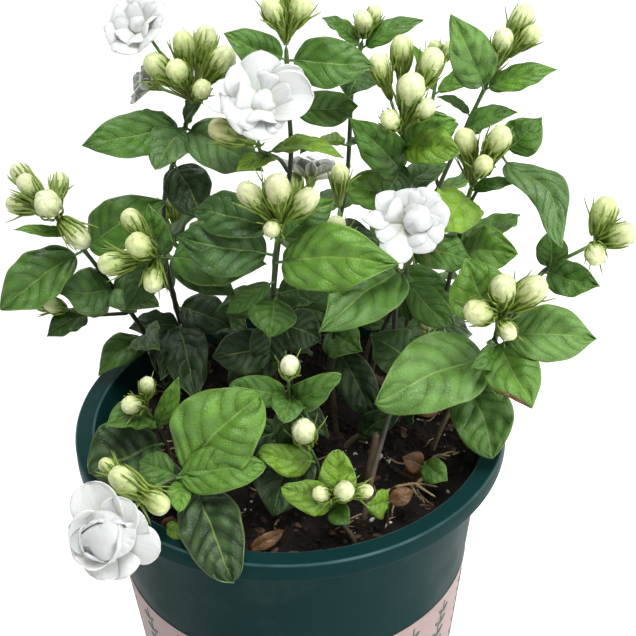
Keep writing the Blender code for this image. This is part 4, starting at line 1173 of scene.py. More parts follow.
def add_blade(bm, spec, surface, vein_row, length):
    """One blade: a grid laid on its surface, with its UV map and the numbers of its look."""
    tone, grey = LOOKS[spec["look"]]
    rows = max(12, min(44, round(length / ROW_STEP)))
    columns = 2 * max(5, min(12, round(spec["width"] / COLUMN_STEP)))
    uv_layer = bm.loops.layers.uv.get("blade") or bm.loops.layers.uv.new("blade")
    layers = {name: float_layer(bm, name) for name in ("tone", "grey", "dry")}
    made = bmesh.ops.create_grid(bm, x_segments=columns, y_segments=rows, size=1.0)["verts"]
    flat = {}
    for vertex in made:
        w = (vertex.co.y + 1.0) * 0.5
        flat[vertex] = (vertex.co.x, 0.65 * w + 0.35 * (0.5 - 0.5 * math.cos(math.pi * w)))
    for face in {face for vertex in made for face in vertex.link_faces}:
        right = face.calc_center_median().x > 0
        for loop in face.loops:
            t, v = flat[loop.vert]
            loop[uv_layer].uv = (0.5 * t + 0.5, 0.1 * vein_row(v, t, right))
    for vertex, (t, v) in flat.items():
        vertex.co = surface(PETIOLE_SHARE + (1.0 - PETIOLE_SHARE) * v, t) * MM
        burnt = spec["scorch"] * min(1.0, max(0.0, (t + 1.3 * v - 1.62) / 0.22))
        vertex[layers["tone"]] = tone
        vertex[layers["grey"]] = grey
        vertex[layers["dry"]] = 1.0 if spec["look"] == "dry" else burnt
    bmesh.ops.remove_doubles(bm, verts=made, dist=0.001 * MM)


print(len(LOOKS), "looks of leaves")

# %% [markdown]
# ## Stalks and shoots
# A leaf's stalk runs on under the blade as its midrib, thinning to nothing at the tip. A shoot is a
# tube through its points, a little swollen at each leaf joint, and it stores its age: woody near
# the soil, green at the end.

# %% Stalks and shoots
STALK_ROWS = 16
STALK_SIDES = 6
STALK_BELOW = Vector((0.0, 0.0, -0.22))
SHOOT_SIDES = 9
JOINT_SWELL = 0.30
JOINT_REACH = 2.2
WOODY_BELOW = 195.0


def add_stalk(bm, joint, surface, radius):
    """A leaf's stalk from its joint, running on under the blade as the midrib."""
    path = [joint]
    sizes = [0.0]
    for step in range(STALK_ROWS + 1):
        s = 0.94 * (step / STALK_ROWS) ** 1.15
        below = STALK_BELOW if s > 0 else Vector()
        path.append(surface(s, 0.0) + below)
        sizes.append(max(0.16, (1.05 * radius if s < 0.02 else 0.85 * radius) * (1.0 - s) ** 0.8))
    sizes[-1] = 0.0
    if (path[1] - path[0]).length < 0.05:
        path[0] = path[0] - (path[2] - path[1]).normalized() * 0.8
    add_tube(bm, path, sizes, STALK_SIDES, finish=1)


def add_shoot(bm, spec, woody):
    """A shoot's tube, swollen at each leaf joint. It stores its age along the way."""
    places = smooth_path(spec["points"], 9)
    path = [point for _, point in places]
    last = places[-1][0]
    thick, thin = spec["radii"]
    joints = [on_path(spec["points"], item["at"]) for item in spec["leaves"]]
    sizes = []
    ages = []
    for at, point in places:
        size = thick + (thin - thick) * at / last
        near = min(((point - joint).length for joint in joints), default=math.inf)
        sizes.append(size * (1.0 + JOINT_SWELL * math.exp(-(near / JOINT_REACH) ** 2)))
        ripe = 1.0 - 0.35 * min(1.0, max(0.0, (point.z - WOODY_BELOW) / 25))
        ages.append(min(ripe, woody * 1.5 * (1.0 - at / last) + 0.05))
    sizes[0] = 0.0
    sizes[-1] = 0.0
    layer = float_layer(bm, "age")

    def paint(vertex, turn, share):
        vertex[layer] = ages[round(share * (len(ages) - 1))]

    add_tube(bm, path, sizes, SHOOT_SIDES, paint=paint)


print("stalk and shoot helpers ready")

# %% [markdown]
# ## Leaves and stems
# Each stem becomes two pieces: its blades as one thin sheet, and its wood and stalks. A live
# Solidify gives the sheet its thickness, and puts the paler finish on the underside and a third one
# on the edge. The end of each shoot is kept, because a head of buds grows from it.

# %% Leaves and stems
LEAF_SEED = 17
INNER_SEED = 53
LEAF_SHEET = 0.42
SIDE_SHOOT_WOOD = 0.35

rng = random.Random(LEAF_SEED)
inner_rng = random.Random(INNER_SEED)
head_seats = {}
blade_count = 0
for name, shoots in stems.items():
    blades = bmesh.new()
    twig = bmesh.new()
    for order, spec in enumerate(shoots):
        add_shoot(twig, spec, 1.0 if order == 0 else SIDE_SHOOT_WOOD)
        inner = inner_leaves.get((name, order), [])
        for row in spec["leaves"] + inner:
            joint = on_path(spec["points"], row["at"])
            draws = inner_rng if row in inner else rng
            surface, vein_row, length = blade_surface(row, joint, spec["radii"][1], draws)
            add_blade(blades, row, surface, vein_row, length)
            add_stalk(twig, joint, surface, 0.55 + 0.012 * row["width"])
            blade_count += 1
        if spec["head"]:
            end = Vector(spec["points"][-1])
            head_seats[spec["head"]] = (end, (end - Vector(spec["points"][-2])).normalized())
    leaves = piece_from(blades, name + "_leaves", leafy, "leafy_stems", name)
    give_thickness(leaves, LEAF_SHEET, two_faced=True)
    piece_from(twig, name + "_twig", [stem_skin, stalk_green], "leafy_stems", name)
print(blade_count, "leaves on", len(stems), "stems")

# %% [markdown]
# ## Where the buds and blooms stand
# A head is a bunch of buds on a shoot's end: each bud is its centre and radius. A bloom is its
# centre, the way it faces and its radius. Both are the CAD's own rows. A bloom's foot, where its
# stalk ends, lies behind its centre by a fixed share of its radius.

# %% Bud and bloom rows
def head(*buds, blooms=()):
    """A head: its buds, each a centre and a radius, and the names of the blooms that stand on it."""
    return {"buds": buds, "blooms": blooms}


heads = {
    "buds_left_outer": head(
        (-107, 14, 301, 6.2), (-117, 25, 305, 4.6), (-122, 36, 305, 4.4), (-124, 28, 293, 4.4),
        (-104, 34, 301, 4.0), (-95, 14, 283, 5.2),
    ),
    "buds_left_low": head((-113, 22, 240, 3.6), (-119, 28, 236, 3.2)),
    "buds_tall_left": head(
        (-53, 24, 363, 5.2), (-43, 12, 366, 4.8), (-41, 30, 370, 5.0), (-33, 12, 357, 4.2),
        (-24, 24, 365, 5.4), (-32, 40, 368, 5.0), blooms=("bloom_top_left", "bloom_left_hidden"),
    ),
    "buds_left_inner": head(
        (-78, -5, 280, 5.2), (-64, -11, 293, 5.6), (-68, 4, 297, 4.6), (-59, -13, 275, 4.6),
    ),
    "buds_centre_top": head((-1, 12, 393, 4.6), (11, 14, 393, 4.8), (5, 24, 395, 4.4)),
    "buds_centre_bloom": head((-24, -6, 346, 5.2), blooms=("bloom_centre",)),
    "buds_centre": head(
        (-13, -26, 326, 5.0), (-1, -29, 330, 5.6), (11, -26, 322, 5.0), (-4, -34, 313, 3.6),
    ),
    "bud_right_inner": head((65, -12, 249, 4.0)),
    "buds_right_bloom": head((50, -28, 296, 4.4), blooms=("bloom_right",)),
    "buds_back_centre": head((38, 41, 374, 4.2), (43, 46, 375, 3.4)),
    "buds_back_inner": head((24, 0, 293, 4.6), (29, -3, 289, 3.0), (26, 5, 317, 4.2)),
    "buds_right_tall": head(
        (44, 14, 365, 4.6), (54, 20, 370, 4.8), (66, 10, 368, 5.2), (57, 3, 359, 6.2),
        (63, 0, 351, 4.2), (48, 2, 345, 4.4),
    ),
    "buds_far_right": head((101, 44, 362, 4.6), (110, 50, 370, 5.2), (113, 42, 365, 4.2)),
    "buds_far_right_small": head((73, 73, 346, 3.2), (79, 71, 346, 3.2)),
    "buds_right_upper": head((81, 3, 333, 5.0), (95, -3, 337, 5.2), (88, -8, 327, 4.2)),
    "buds_right_outer": head((145, 3, 296, 5.6), (152, -8, 290, 5.2), (139, -15, 284, 4.6)),
    "buds_right_low": head(
        (83, -49, 278, 5.6), (94, -46, 288, 5.6), (107, -42, 284, 6.0), (96, -54, 271, 3.8),
    ),
    "buds_front_left": head(
        (-71, -85, 220, 5.6), (-57, -90, 211, 5.0), (-78, -79, 223, 3.4), blooms=("bloom_front_left",),
    ),
    "buds_left_small": head((-71, -40, 226, 4.3), (-64, -32, 231, 3.5)),
    "bud_front_mid": head((2, -62, 262, 4.2)),
    "bud_front_small": head((7, -67, 230, 5.4)),
    "buds_front": head((14, -87, 211, 3.6), (24, -88, 213, 4.4), (33, -85, 210, 3.2)),
    "buds_rear_left": head((-60, 108, 248, 4.6), (-70, 102, 246, 4.4), (-54, 100, 252, 5.0)),
    "buds_rear_mid": head((4, 116, 252, 4.6), blooms=("bloom_rear",)),
    "buds_rear_right": head((74, 100, 246, 4.8), (84, 92, 246, 4.6), (72, 88, 250, 5.0)),
}

blooms = {
    "bloom_centre": {"centre": (-6, -10, 363), "face": (0.10, -0.72, 0.68), "radius": 25.0},
    "bloom_right": {"centre": (55, -27, 312), "face": (0.05, -0.80, 0.60), "radius": 16.0},
    "bloom_front_left": {"centre": (-77, -107, 207), "face": (-0.20, -0.80, 0.55), "radius": 22.0},
    "bloom_top_left": {"centre": (-62, 38, 377), "face": (-0.40, -0.45, 0.80), "radius": 17.0},
    "bloom_left_hidden": {"centre": (-63, 46, 346), "face": (-0.90, 0.10, 0.40), "radius": 12.0},
    "bloom_rear": {"centre": (14, 116, 262), "face": (0.15, 0.60, 0.78), "radius": 17.0},
}
BLOOM_FOOT = 0.62
print(sum(len(row["buds"]) for row in heads.values()), "buds placed")

# %% [markdown]
# ## Buds
# The buds of a double jasmine are plump and egg-shaped, pale yellow green to cream, with the edges of their
# tightly wound petals showing as spiral seams. The mesh stores the height along the bud, the seams, and how
# ripe and how blushed a bud is, so that one finish covers them all. The calyx is yellow green, and painted
# shade darkens the furrows between the ribs of its cup.

# %% Bud finishes
YOUNG_BUD = ((0.0, (0.130, 0.220, 0.030)), (0.35, (0.340, 0.440, 0.105)), (1.0, (0.620, 0.680, 0.310)))
RIPE_BUD = ((0.0, (0.260, 0.340, 0.095)), (0.4, (0.550, 0.590, 0.320)), (1.0, (0.730, 0.750, 0.560)))
SEAM_GREEN = (0.260, 0.310, 0.110, 1.0)
BUD_BLUSH = (0.330, 0.290, 0.130, 1.0)
LOBE_GREENS = ((0.3, (0.105, 0.175, 0.016)), (0.7, (0.250, 0.340, 0.055)))
# painted shade for the furrows between the calyx cup's ribs
FURROW_SHADE_GREEN = (0.040, 0.075, 0.010, 1.0)
SPENT_BROWN = (0.100, 0.085, 0.030, 1.0)

bud_skin, tree, shader = new_finish("bud_skin", 0.55, Subsurface_Weight=0.12, Subsurface_Scale=0.002)
height = attribute(tree, "height")
young_bud = ramp(tree, height, YOUNG_BUD)
ripe_bud = ramp(tree, height, RIPE_BUD)
bud_tone = blend_colour(tree, attribute(tree, "ripe"), young_bud, ripe_bud)
seam_share = maths(tree, "MULTIPLY", attribute(tree, "seam"), 0.55)
bud_tone = blend_colour(tree, seam_share, bud_tone, SEAM_GREEN)
blush_share = maths(tree, "MULTIPLY", attribute(tree, "blush"), 0.6)
bud_tone = blend_colour(tree, blush_share, bud_tone, BUD_BLUSH)
mottle = between(tree, speckle(tree, 420.0, 4.0, 0.6), 0.3, 0.7, 0.85, 1.12)
wire(tree, shader, brighten(tree, mottle, bud_tone), speckle(tree, 900.0, 3.0), 0.15, 0.5)

calyx_green, tree, shader = new_finish("calyx_green", 0.55)
lobe_tone = ramp(tree, speckle(tree, 240.0, 3.0), LOBE_GREENS)
# painted shade: the furrows between the cup's ribs are darkened
painted_furrow_shade = between(tree, attribute(tree, "rib"), 0.1, 0.8, 0.75, 0.0)
furrow_shade_share = maths(tree, "MULTIPLY", painted_furrow_shade, attribute(tree, "cup"))
lobe_tone = blend_colour(tree, furrow_shade_share, lobe_tone, FURROW_SHADE_GREEN)
lobe_tone = blend_colour(tree, attribute(tree, "spent"), lobe_tone, SPENT_BROWN)
wire(tree, shader, lobe_tone, speckle(tree, 1800.0), 0.05, 0.4)
print("bud finishes ready")

# %% [markdown]
# ## The calyx of a bud
# Each bud sits in a small ribbed cup with long, thin, green lobes that clasp it like the feathers
# of a shuttlecock. The cup is a short tube that widens, its radius waved round its turn. A lobe is
# a thin tapering tube through a few places, given by their height along the bud and their distance
# out from it.

# %% Calyx
LOBES = 11
LOBE_SIDES = 4
RIBS = 11
CUP_ROWS = 8
CUP_FOOT = 0.8


def add_lobe(bm, rows, origin, direction, out, size, spent=0.0):
    """One thin lobe from rows of (height along the bud, distance out), tapering to its tip."""
    layer = float_layer(bm, "spent")
    places = [origin + direction * height + out * wide for height, wide in rows]
    path = [point for _, point in smooth_path(places, 2)]
    last = len(path) - 1
    sizes = [0.0] + [size * (1.0 - 0.8 * (step / last) ** 1.5) for step in range(1, last)] + [0.0]
    add_tube(bm, path, sizes, LOBE_SIDES, finish=2, paint=storing(layer, spent))


def add_calyx(bm, knot, direction, low, high, radius, rng):
    """The green cup that holds a bud: a narrow funnel with a rib for each lobe."""
    layer = float_layer(bm, "rib")
    cup_layer = float_layer(bm, "cup")
    start = rng.uniform(0.0, math.tau)

    def rib(turn, share):
        return 0.5 + 0.5 * math.cos(RIBS * (turn + 0.5 * share) + start)

    def paint(vertex, turn, share):
        vertex[layer] = rib(turn, share)
        vertex[cup_layer] = 1.0

    def shape(turn, share):
        return 0.90 + 0.20 * rib(turn, share)

    path = []
    sizes = []
    for row in range(CUP_ROWS + 1):
        share = row / CUP_ROWS
        path.append(knot + direction * (low + (high - low) * share))
        sizes.append(CUP_FOOT + (radius - CUP_FOOT) * share ** 0.95)
    sizes[0] = 0.0
    sizes.append(0.0)
    path.append(path[-1] + direction * 0.4)
    add_tube(bm, path, sizes, 2 * RIBS, finish=2, shape=shape, paint=paint)


print("calyx helpers ready")

# %% [markdown]
# ## A bud
# A bud is a tube with an egg's outline. Its radius dips where one wound petal ends and the next
# begins, along spiral lines, and a little noise keeps it from looking turned on a lathe. Its tip
# follows from the CAD's centre and radius, so each bud stays where its solid is.

# %% Bud
BUD_ROWS = 20
BUD_SIDES = 30
SMALL_BUD = 3.5
BUD_TIP = 1.22
BUD_LONG = 2.75


def add_bud(bm, knot, centre, radius, rng, ripe, blush):
    """A bud on its stalk: the egg with its spiral petal edges, its cup and its lobes."""
    direction = (centre - knot).normalized()
    tip = centre + direction * radius * BUD_TIP
    reach = (tip - knot).length
    layers = {name: float_layer(bm, name) for name in ("height", "seam", "ripe", "blush")}
    petals = rng.choice((4, 5, 5, 6))
    winding = rng.uniform(0.5, 1.1)
    start = rng.uniform(0.0, 1.0)

    def wound(turn, share):
        return (petals * turn / math.tau + winding * share ** 1.5 + start) % 1.0

    def paint(vertex, turn, share):
        edge = wound(turn, share)
        after = 1.0 - edge / 0.22
        ahead = (edge - 0.86) / 0.14
        vertex[layers["height"]] = share
        vertex[layers["seam"]] = max(0.0, after if edge < 0.22 else ahead)
        vertex[layers["ripe"]] = ripe
        vertex[layers["blush"]] = blush

    def shape(turn, share):
        bump = noise.noise(centre * 0.7 + Vector((math.cos(turn), math.sin(turn), 2.5 * share)) * 1.3)
        return 0.93 + 0.12 * wound(turn, share) ** 0.7 + 0.07 * bump

    egg = min(BUD_LONG * radius, 0.94 * reach)
    path = []
    sizes = []
    for row in range(BUD_ROWS + 1):
        angle = math.pi * row / BUD_ROWS
        path.append(tip - direction * egg * 0.5 * (1.0 + math.cos(angle)))
        sizes.append(radius * 0.95 * math.sin(angle) ** 0.8 * (1.0 - 0.10 * math.cos(angle + 0.3)))
    sizes[0] = 0.0
    sizes[-1] = 0.0
    sides = BUD_SIDES if radius > SMALL_BUD else BUD_SIDES // 2
    add_tube(bm, path, sizes, petals * (sides // petals), finish=0, shape=shape, paint=paint)

    cup_foot = max(0.6, reach - 4.6 * radius)
    stalk = [knot + direction * (cup_foot * step / 5) for step in range(6)]
    sag = direction.orthogonal().normalized() * rng.uniform(-0.5, 0.5)
    stalk = [point + sag * math.sin(math.pi * step / 5) for step, point in enumerate(stalk)]
    add_tube(bm, stalk, [0.0, 0.85, 0.72, 0.72, 0.85, 0.0], 6, finish=1)
    cup_low = max(0.3, reach - 5.4 * radius)
    add_calyx(bm, knot, direction, cup_low, reach - 1.35 * radius, 0.98 * radius, rng)
    side = direction.orthogonal().normalized()
    other = direction.cross(side)
    for index in range(LOBES):
        angle = math.tau * (index + rng.uniform(-0.25, 0.25)) / LOBES
        out = side * math.cos(angle) + other * math.sin(angle)
        flare = rng.choice((0.0, 0.05, 0.1, 0.25, 0.6)) * rng.uniform(0.6, 1.2)
        long = rng.uniform(0.5, 1.2)
        rows = [(-2.3, 0.45), (-1.7, 0.75), (-0.9, 1.02), (-0.1, 1.06 + flare),
                (0.25 + 0.6 * long, 0.98 + 2.2 * flare)]
        rows = [(height * radius, wide * radius) for height, wide in rows]
        add_lobe(bm, rows, centre, direction, out, 0.58 + 0.04 * radius)


print("bud helper ready")

# %% [markdown]
# ## Bracts and spent cups
# Narrow bracts stand where the bud stalks meet, and a fallen flower leaves a dry, bristly cup. Both
# are bunches of the same thin lobes, so they need no new shape.

# %% Bracts and spent cups
BRISTLES = 26
BRISTLE_TURN = math.tau * 0.382


def add_bracts(bm, knot, direction, rng, count):
    """Narrow bracts that stand round the knot where the bud stalks meet."""
    side = direction.orthogonal().normalized()
    for index in range(count):
        out = Matrix.Rotation(math.tau * (index + rng.uniform(-0.3, 0.3)) / count, 3, direction) @ side
        long = rng.uniform(5.0, 10.0)
        rows = [(-1.0, 0.6), (0.25 * long, 0.18 * long + 1.0), (0.65 * long, 0.36 * long + 1.0),
                (long, 0.5 * long + 1.0)]
        add_lobe(bm, rows, knot, direction, out, 0.55)


def add_spent_cup(bm, knot, tip, rng):
    """The dry, bristly cup that a fallen flower leaves."""
    direction = (tip - knot).normalized()
    reach = (tip - knot).length
    side = direction.orthogonal().normalized()
    for index in range(BRISTLES):
        out = Matrix.Rotation(BRISTLE_TURN * index, 3, direction) @ side
        wide = rng.uniform(0.15, 0.55) * reach
        rows = [(0.0, 0.5), (0.3 * reach, 0.35 * wide + 0.6), (0.7 * reach, 0.8 * wide),
                (reach * rng.uniform(0.8, 1.1), wide)]
        add_lobe(bm, rows, knot, direction, out, 0.5, spent=rng.uniform(0.35, 0.9))


def add_bloom_stalk(bm, knot, bloom, rng):
    """The stalk that carries a bloom, bent to meet it from behind, with the lobes round the bloom's tube."""
    face = Vector(bloom["face"]).normalized()
    stop = Vector(bloom["centre"]) - face * bloom["radius"] * BLOOM_FOOT
    elbow = stop - face * 4.3
    path = [point for _, point in smooth_path([knot, knot.lerp(elbow, 0.5), elbow, stop], 4)]
    sizes = [0.0] + [0.75] * (len(path) - 5) + [1.0, 1.5, 1.9, 0.0]
    add_tube(bm, path, sizes, 8, finish=1)
    side = face.orthogonal().normalized()
    for index in range(LOBES):
        out = Matrix.Rotation(math.tau * index / LOBES, 3, face) @ side
        rows = [(-1.5, 1.2), (1.5, 2.3), (5.0, 3.9),
                (8.0 + rng.uniform(-1, 1.5), 6.4 + rng.uniform(-1, 1))]
        add_lobe(bm, rows, stop, face, out, 0.55)


print("bract, cup and stalk helpers ready")

# %% [markdown]
# ## Heads of buds
# Each head is one piece: a knot on the shoot's end, its bracts, its buds, and the stalks of the
# blooms that stand on it. The buds of a head ripen together, from green to cream, and a few heads
# have a pinkish brown blush.

# %% Heads of buds
BUD_SEED = 5
KNOT_RISE = 1.4
MOST_BRACTS = 8
RIPE_ELSEWHERE = 0.3
SPENT_CUPS = {"buds_right_bloom": ((70, -26, 295),), "buds_right_upper": ((84, 6, 331),),
              "buds_tall_left": ((-44, 22, 360),), "buds_rear_mid": ((8, 110, 252),)}
RIPE = {"buds_left_outer": 0.75, "buds_left_small": 0.45, "bud_front_mid": 0.9, "bud_front_small": 0.8,
        "buds_tall_left": 0.35, "buds_front_left": 0.25, "buds_right_tall": 0.45, "bud_right_inner": 0.8,
        "buds_centre": 0.55, "buds_far_right": 0.5, "buds_right_outer": 0.3, "buds_front": 0.35}
BLUSH = {"buds_centre_bloom": 0.75, "buds_centre": 0.40, "buds_right_bloom": 0.5, "buds_right_low": 0.25,
         "buds_right_upper": 0.25}

rng = random.Random(BUD_SEED)
bud_count = 0
for name, row in heads.items():
    end, direction = head_seats[name]
    knot = end + direction * KNOT_RISE
    bm = bmesh.new()
    add_tube(bm, [end - direction * 0.6, end, end + direction * 1.2, end + direction * 2.4],
             [0.0, 1.15, 1.35, 0.0], 10, finish=1)
    add_bracts(bm, knot, direction, rng, min(MOST_BRACTS, 3 + len(row["buds"])))
    for x, y, z, radius in row["buds"]:
        ripe = min(1.0, max(0.0, RIPE.get(name, RIPE_ELSEWHERE) + rng.uniform(-0.2, 0.2)))
        add_bud(bm, knot, Vector((x, y, z)), radius, rng, ripe, BLUSH.get(name, 0.0))
        bud_count += 1
    for tip in SPENT_CUPS.get(name, ()):
        add_spent_cup(bm, knot, Vector(tip), rng)
    for bloom in row["blooms"]:
        add_bloom_stalk(bm, knot, blooms[bloom], rng)
    piece_from(bm, name + "_head", [bud_skin, stalk_green, calyx_green], "buds", name)
print(bud_count, "buds in", len(heads), "heads")

# %% [markdown]
# ## White petals
# A double bloom is many rounded petals in layers, white with a greenish cream throat. Light passes
# through the thin petals, so the finish scatters it under the surface, evenly in all colours to
# keep the white clean. Faint streaks run along each petal, on its own UV map.

# %% Petal finish
PETAL_WHITES = ((0.0, (0.420, 0.475, 0.230)), (0.30, (0.610, 0.635, 0.520)), (0.6, (0.645, 0.660, 0.640)))
PETAL_STREAK = (0.470, 0.495, 0.480, 1.0)
STREAK_SCALE = (22.0, 1.6, 1.0)
TUBE_CREAMS = ((0.3, (0.35, 0.46, 0.16)), (0.7, (0.62, 0.68, 0.38)))

petal_white, tree, shader = new_finish("petal_white", 0.55, Subsurface_Weight=0.45, Subsurface_Scale=0.004,
                                       Subsurface_Radius=(1.0, 0.9, 0.8))
petal_tone = ramp(tree, attribute(tree, "reach"), PETAL_WHITES)
petal_map = add_node(tree, "ShaderNodeUVMap", uv_map="petal").outputs[0]
stretched = add_node(tree, "ShaderNodeMapping", {"Vector": petal_map, "Scale": STREAK_SCALE}).outputs[0]
streaks = add_node(tree, "ShaderNodeTexNoise", {"Vector": stretched, "Scale": 1.0, "Detail": 3.0}).outputs[0]
faint = between(tree, streaks, 0.35, 0.70, 0.0, 0.30)
wire(tree, shader, blend_colour(tree, faint, petal_tone, PETAL_STREAK), streaks, 0.25, 0.35)

tube_cream, tree, shader = new_finish("tube_cream", 0.5, Subsurface_Weight=0.1, Subsurface_Scale=0.002)
wire(tree, shader, ramp(tree, speckle(tree, 90.0), TUBE_CREAMS))
print("petal finishes ready")

# %% [markdown]
# ## A petal
# A petal is a grid again: it leaves the tube steeply, then bends outwards row by row, while its two
# sides curl in, or roll back where its cup is below zero. Its half width follows a formula with a
# narrow claw, a broad middle and a rounded end, so that no two rows of the grid cross.

# %% Petal
PETAL_ROWS = 15
PETAL_COLUMNS = 12
PETAL_WIDEST = 0.58


def petal_half(s, point):
    """Half width of a petal as a share of its widest: a narrow claw, a broad middle, a rounded end."""
    if s < PETAL_WIDEST:
        return 0.32 + 0.68 * math.sin(0.5 * math.pi * s / PETAL_WIDEST) ** 0.9
    late = (s - PETAL_WIDEST) / (1.0 - PETAL_WIDEST)
    return max(0.0, 1.0 - late ** (2.5 - point)) ** (0.5 + 0.5 * point)


def add_petal(bm, base, face, row, rng):
    """One petal from its row: turn, length, width, opening at root and tip, cup and point."""
    turn, length, width, root_angle, tip_angle, cup, point = row
    across = (Vector((1, 0, 0)) - face * face.x).normalized()
    upward = face.cross(across)
    angle = math.radians(turn + rng.uniform(-4, 4))
    out = across * math.cos(angle) + upward * math.sin(angle)
    side = face.cross(out)
    phase = rng.uniform(0.0, math.tau)
    lap = rng.uniform(0.02, 0.14)
    layer = float_layer(bm, "reach")
    uv_layer = bm.loops.layers.uv.get("petal") or bm.loops.layers.uv.new("petal")
    places = [1.0 - (1.0 - index / PETAL_ROWS) ** 1.35 for index in range(PETAL_ROWS + 1)]
    spine = [base + out * 0.6]
    inward = []
    for index, s in enumerate(places):
        spoon = 30.0 * cup * max(0.0, (s - 0.65) / 0.35) ** 1.5
        bend = math.radians(root_angle + (tip_angle - root_angle) * s ** 1.15 - spoon)
        heading = out * math.sin(bend) + face * math.cos(bend)
        inward.append(face * math.sin(bend) - out * math.cos(bend))
        ahead = places[min(index + 1, PETAL_ROWS)] - s
        spine.append(spine[-1] + heading * length * ahead)
    made = bmesh.ops.create_grid(bm, x_segments=PETAL_COLUMNS, y_segments=PETAL_ROWS, size=1.0)["verts"]
    flat = {vertex: vertex.co.xy.copy() for vertex in made}
    for face_made in {item for vertex in made for item in vertex.link_faces}:
        for loop in face_made.loops:
            loop[uv_layer].uv = (flat[loop.vert] + Vector((1.0, 1.0))) * 0.5
    arc = 0.35 + 0.75 * cup if cup > 0.0 else 1.2 * cup
    for vertex, place in flat.items():
        t = math.sin(0.5 * math.pi * place.x) * 0.5 + place.x * 0.5
        index = round((place.y + 1.0) * 0.5 * PETAL_ROWS)
        s = places[index]
        half = 0.5 * width * petal_half(s, point)
        curl = half * ((1.0 - math.cos(arc * t)) / math.sin(arc) + lap * t)
        curl += 0.045 * width * s * abs(t) ** 3 * math.sin(4.0 * t + phase)
        curl += 0.018 * width * math.sin(7 * s + phase) + 0.012 * width * math.sin(9.0 * t + phase) * s
        sideways = half * math.sin(arc * t) / math.sin(arc)
        vertex.co = (spine[index] + side * sideways + inward[index] * curl) * MM
        vertex[layer] = s
    bmesh.ops.remove_doubles(bm, verts=made, dist=0.001 * MM)


print("petal helper ready")

# %% [markdown]
# ## The heart of a bloom
# In the middle of a double bloom the last petals stay wound round each other. From outside they are
# one soft knob, so the heart is an egg-shaped tube whose radius steps along spiral petal edges,
# with noise to loosen it.

# %% Heart
HEART_ROWS = 14
HEART_SIDES = 36


def add_heart(bm, foot, axis, radius, long):
    """The closed heart of a double bloom: an egg of petals wound round each other."""
    layer = float_layer(bm, "reach")
    path = []
    sizes = []
    for row in range(HEART_ROWS + 1):
        angle = math.pi * row / HEART_ROWS
        path.append(foot + axis * long * 0.5 * (1.0 - math.cos(angle)))
        sizes.append(radius * math.sin(angle) ** 0.8)
    sizes[0] = 0.0
    sizes[-1] = 0.0

    def wound(turn, share):
        edge = (3.0 * turn / math.tau + 1.5 * share ** 1.5 + 0.2) % 1.0
        soft = noise.noise(foot * 0.3 + Vector((math.cos(turn), math.sin(turn), 2.0 * share)))
        return 0.74 + 0.40 * edge ** 1.1 + 0.16 * soft

    add_tube(bm, path, sizes, HEART_SIDES, shape=wound, paint=storing(layer, 1.0))


print("heart helper ready")

# %% [markdown]
# ## Petal rows
# Each row is one petal: its direction in the picture in degrees, counted from the right upwards,
# its length and width in millimetres, how far it opens at its root and at its tip, how cupped it is
# and how pointed. The blooms in front follow the photo petal by petal. A heart is its radius, its
# length and its shift to the right.

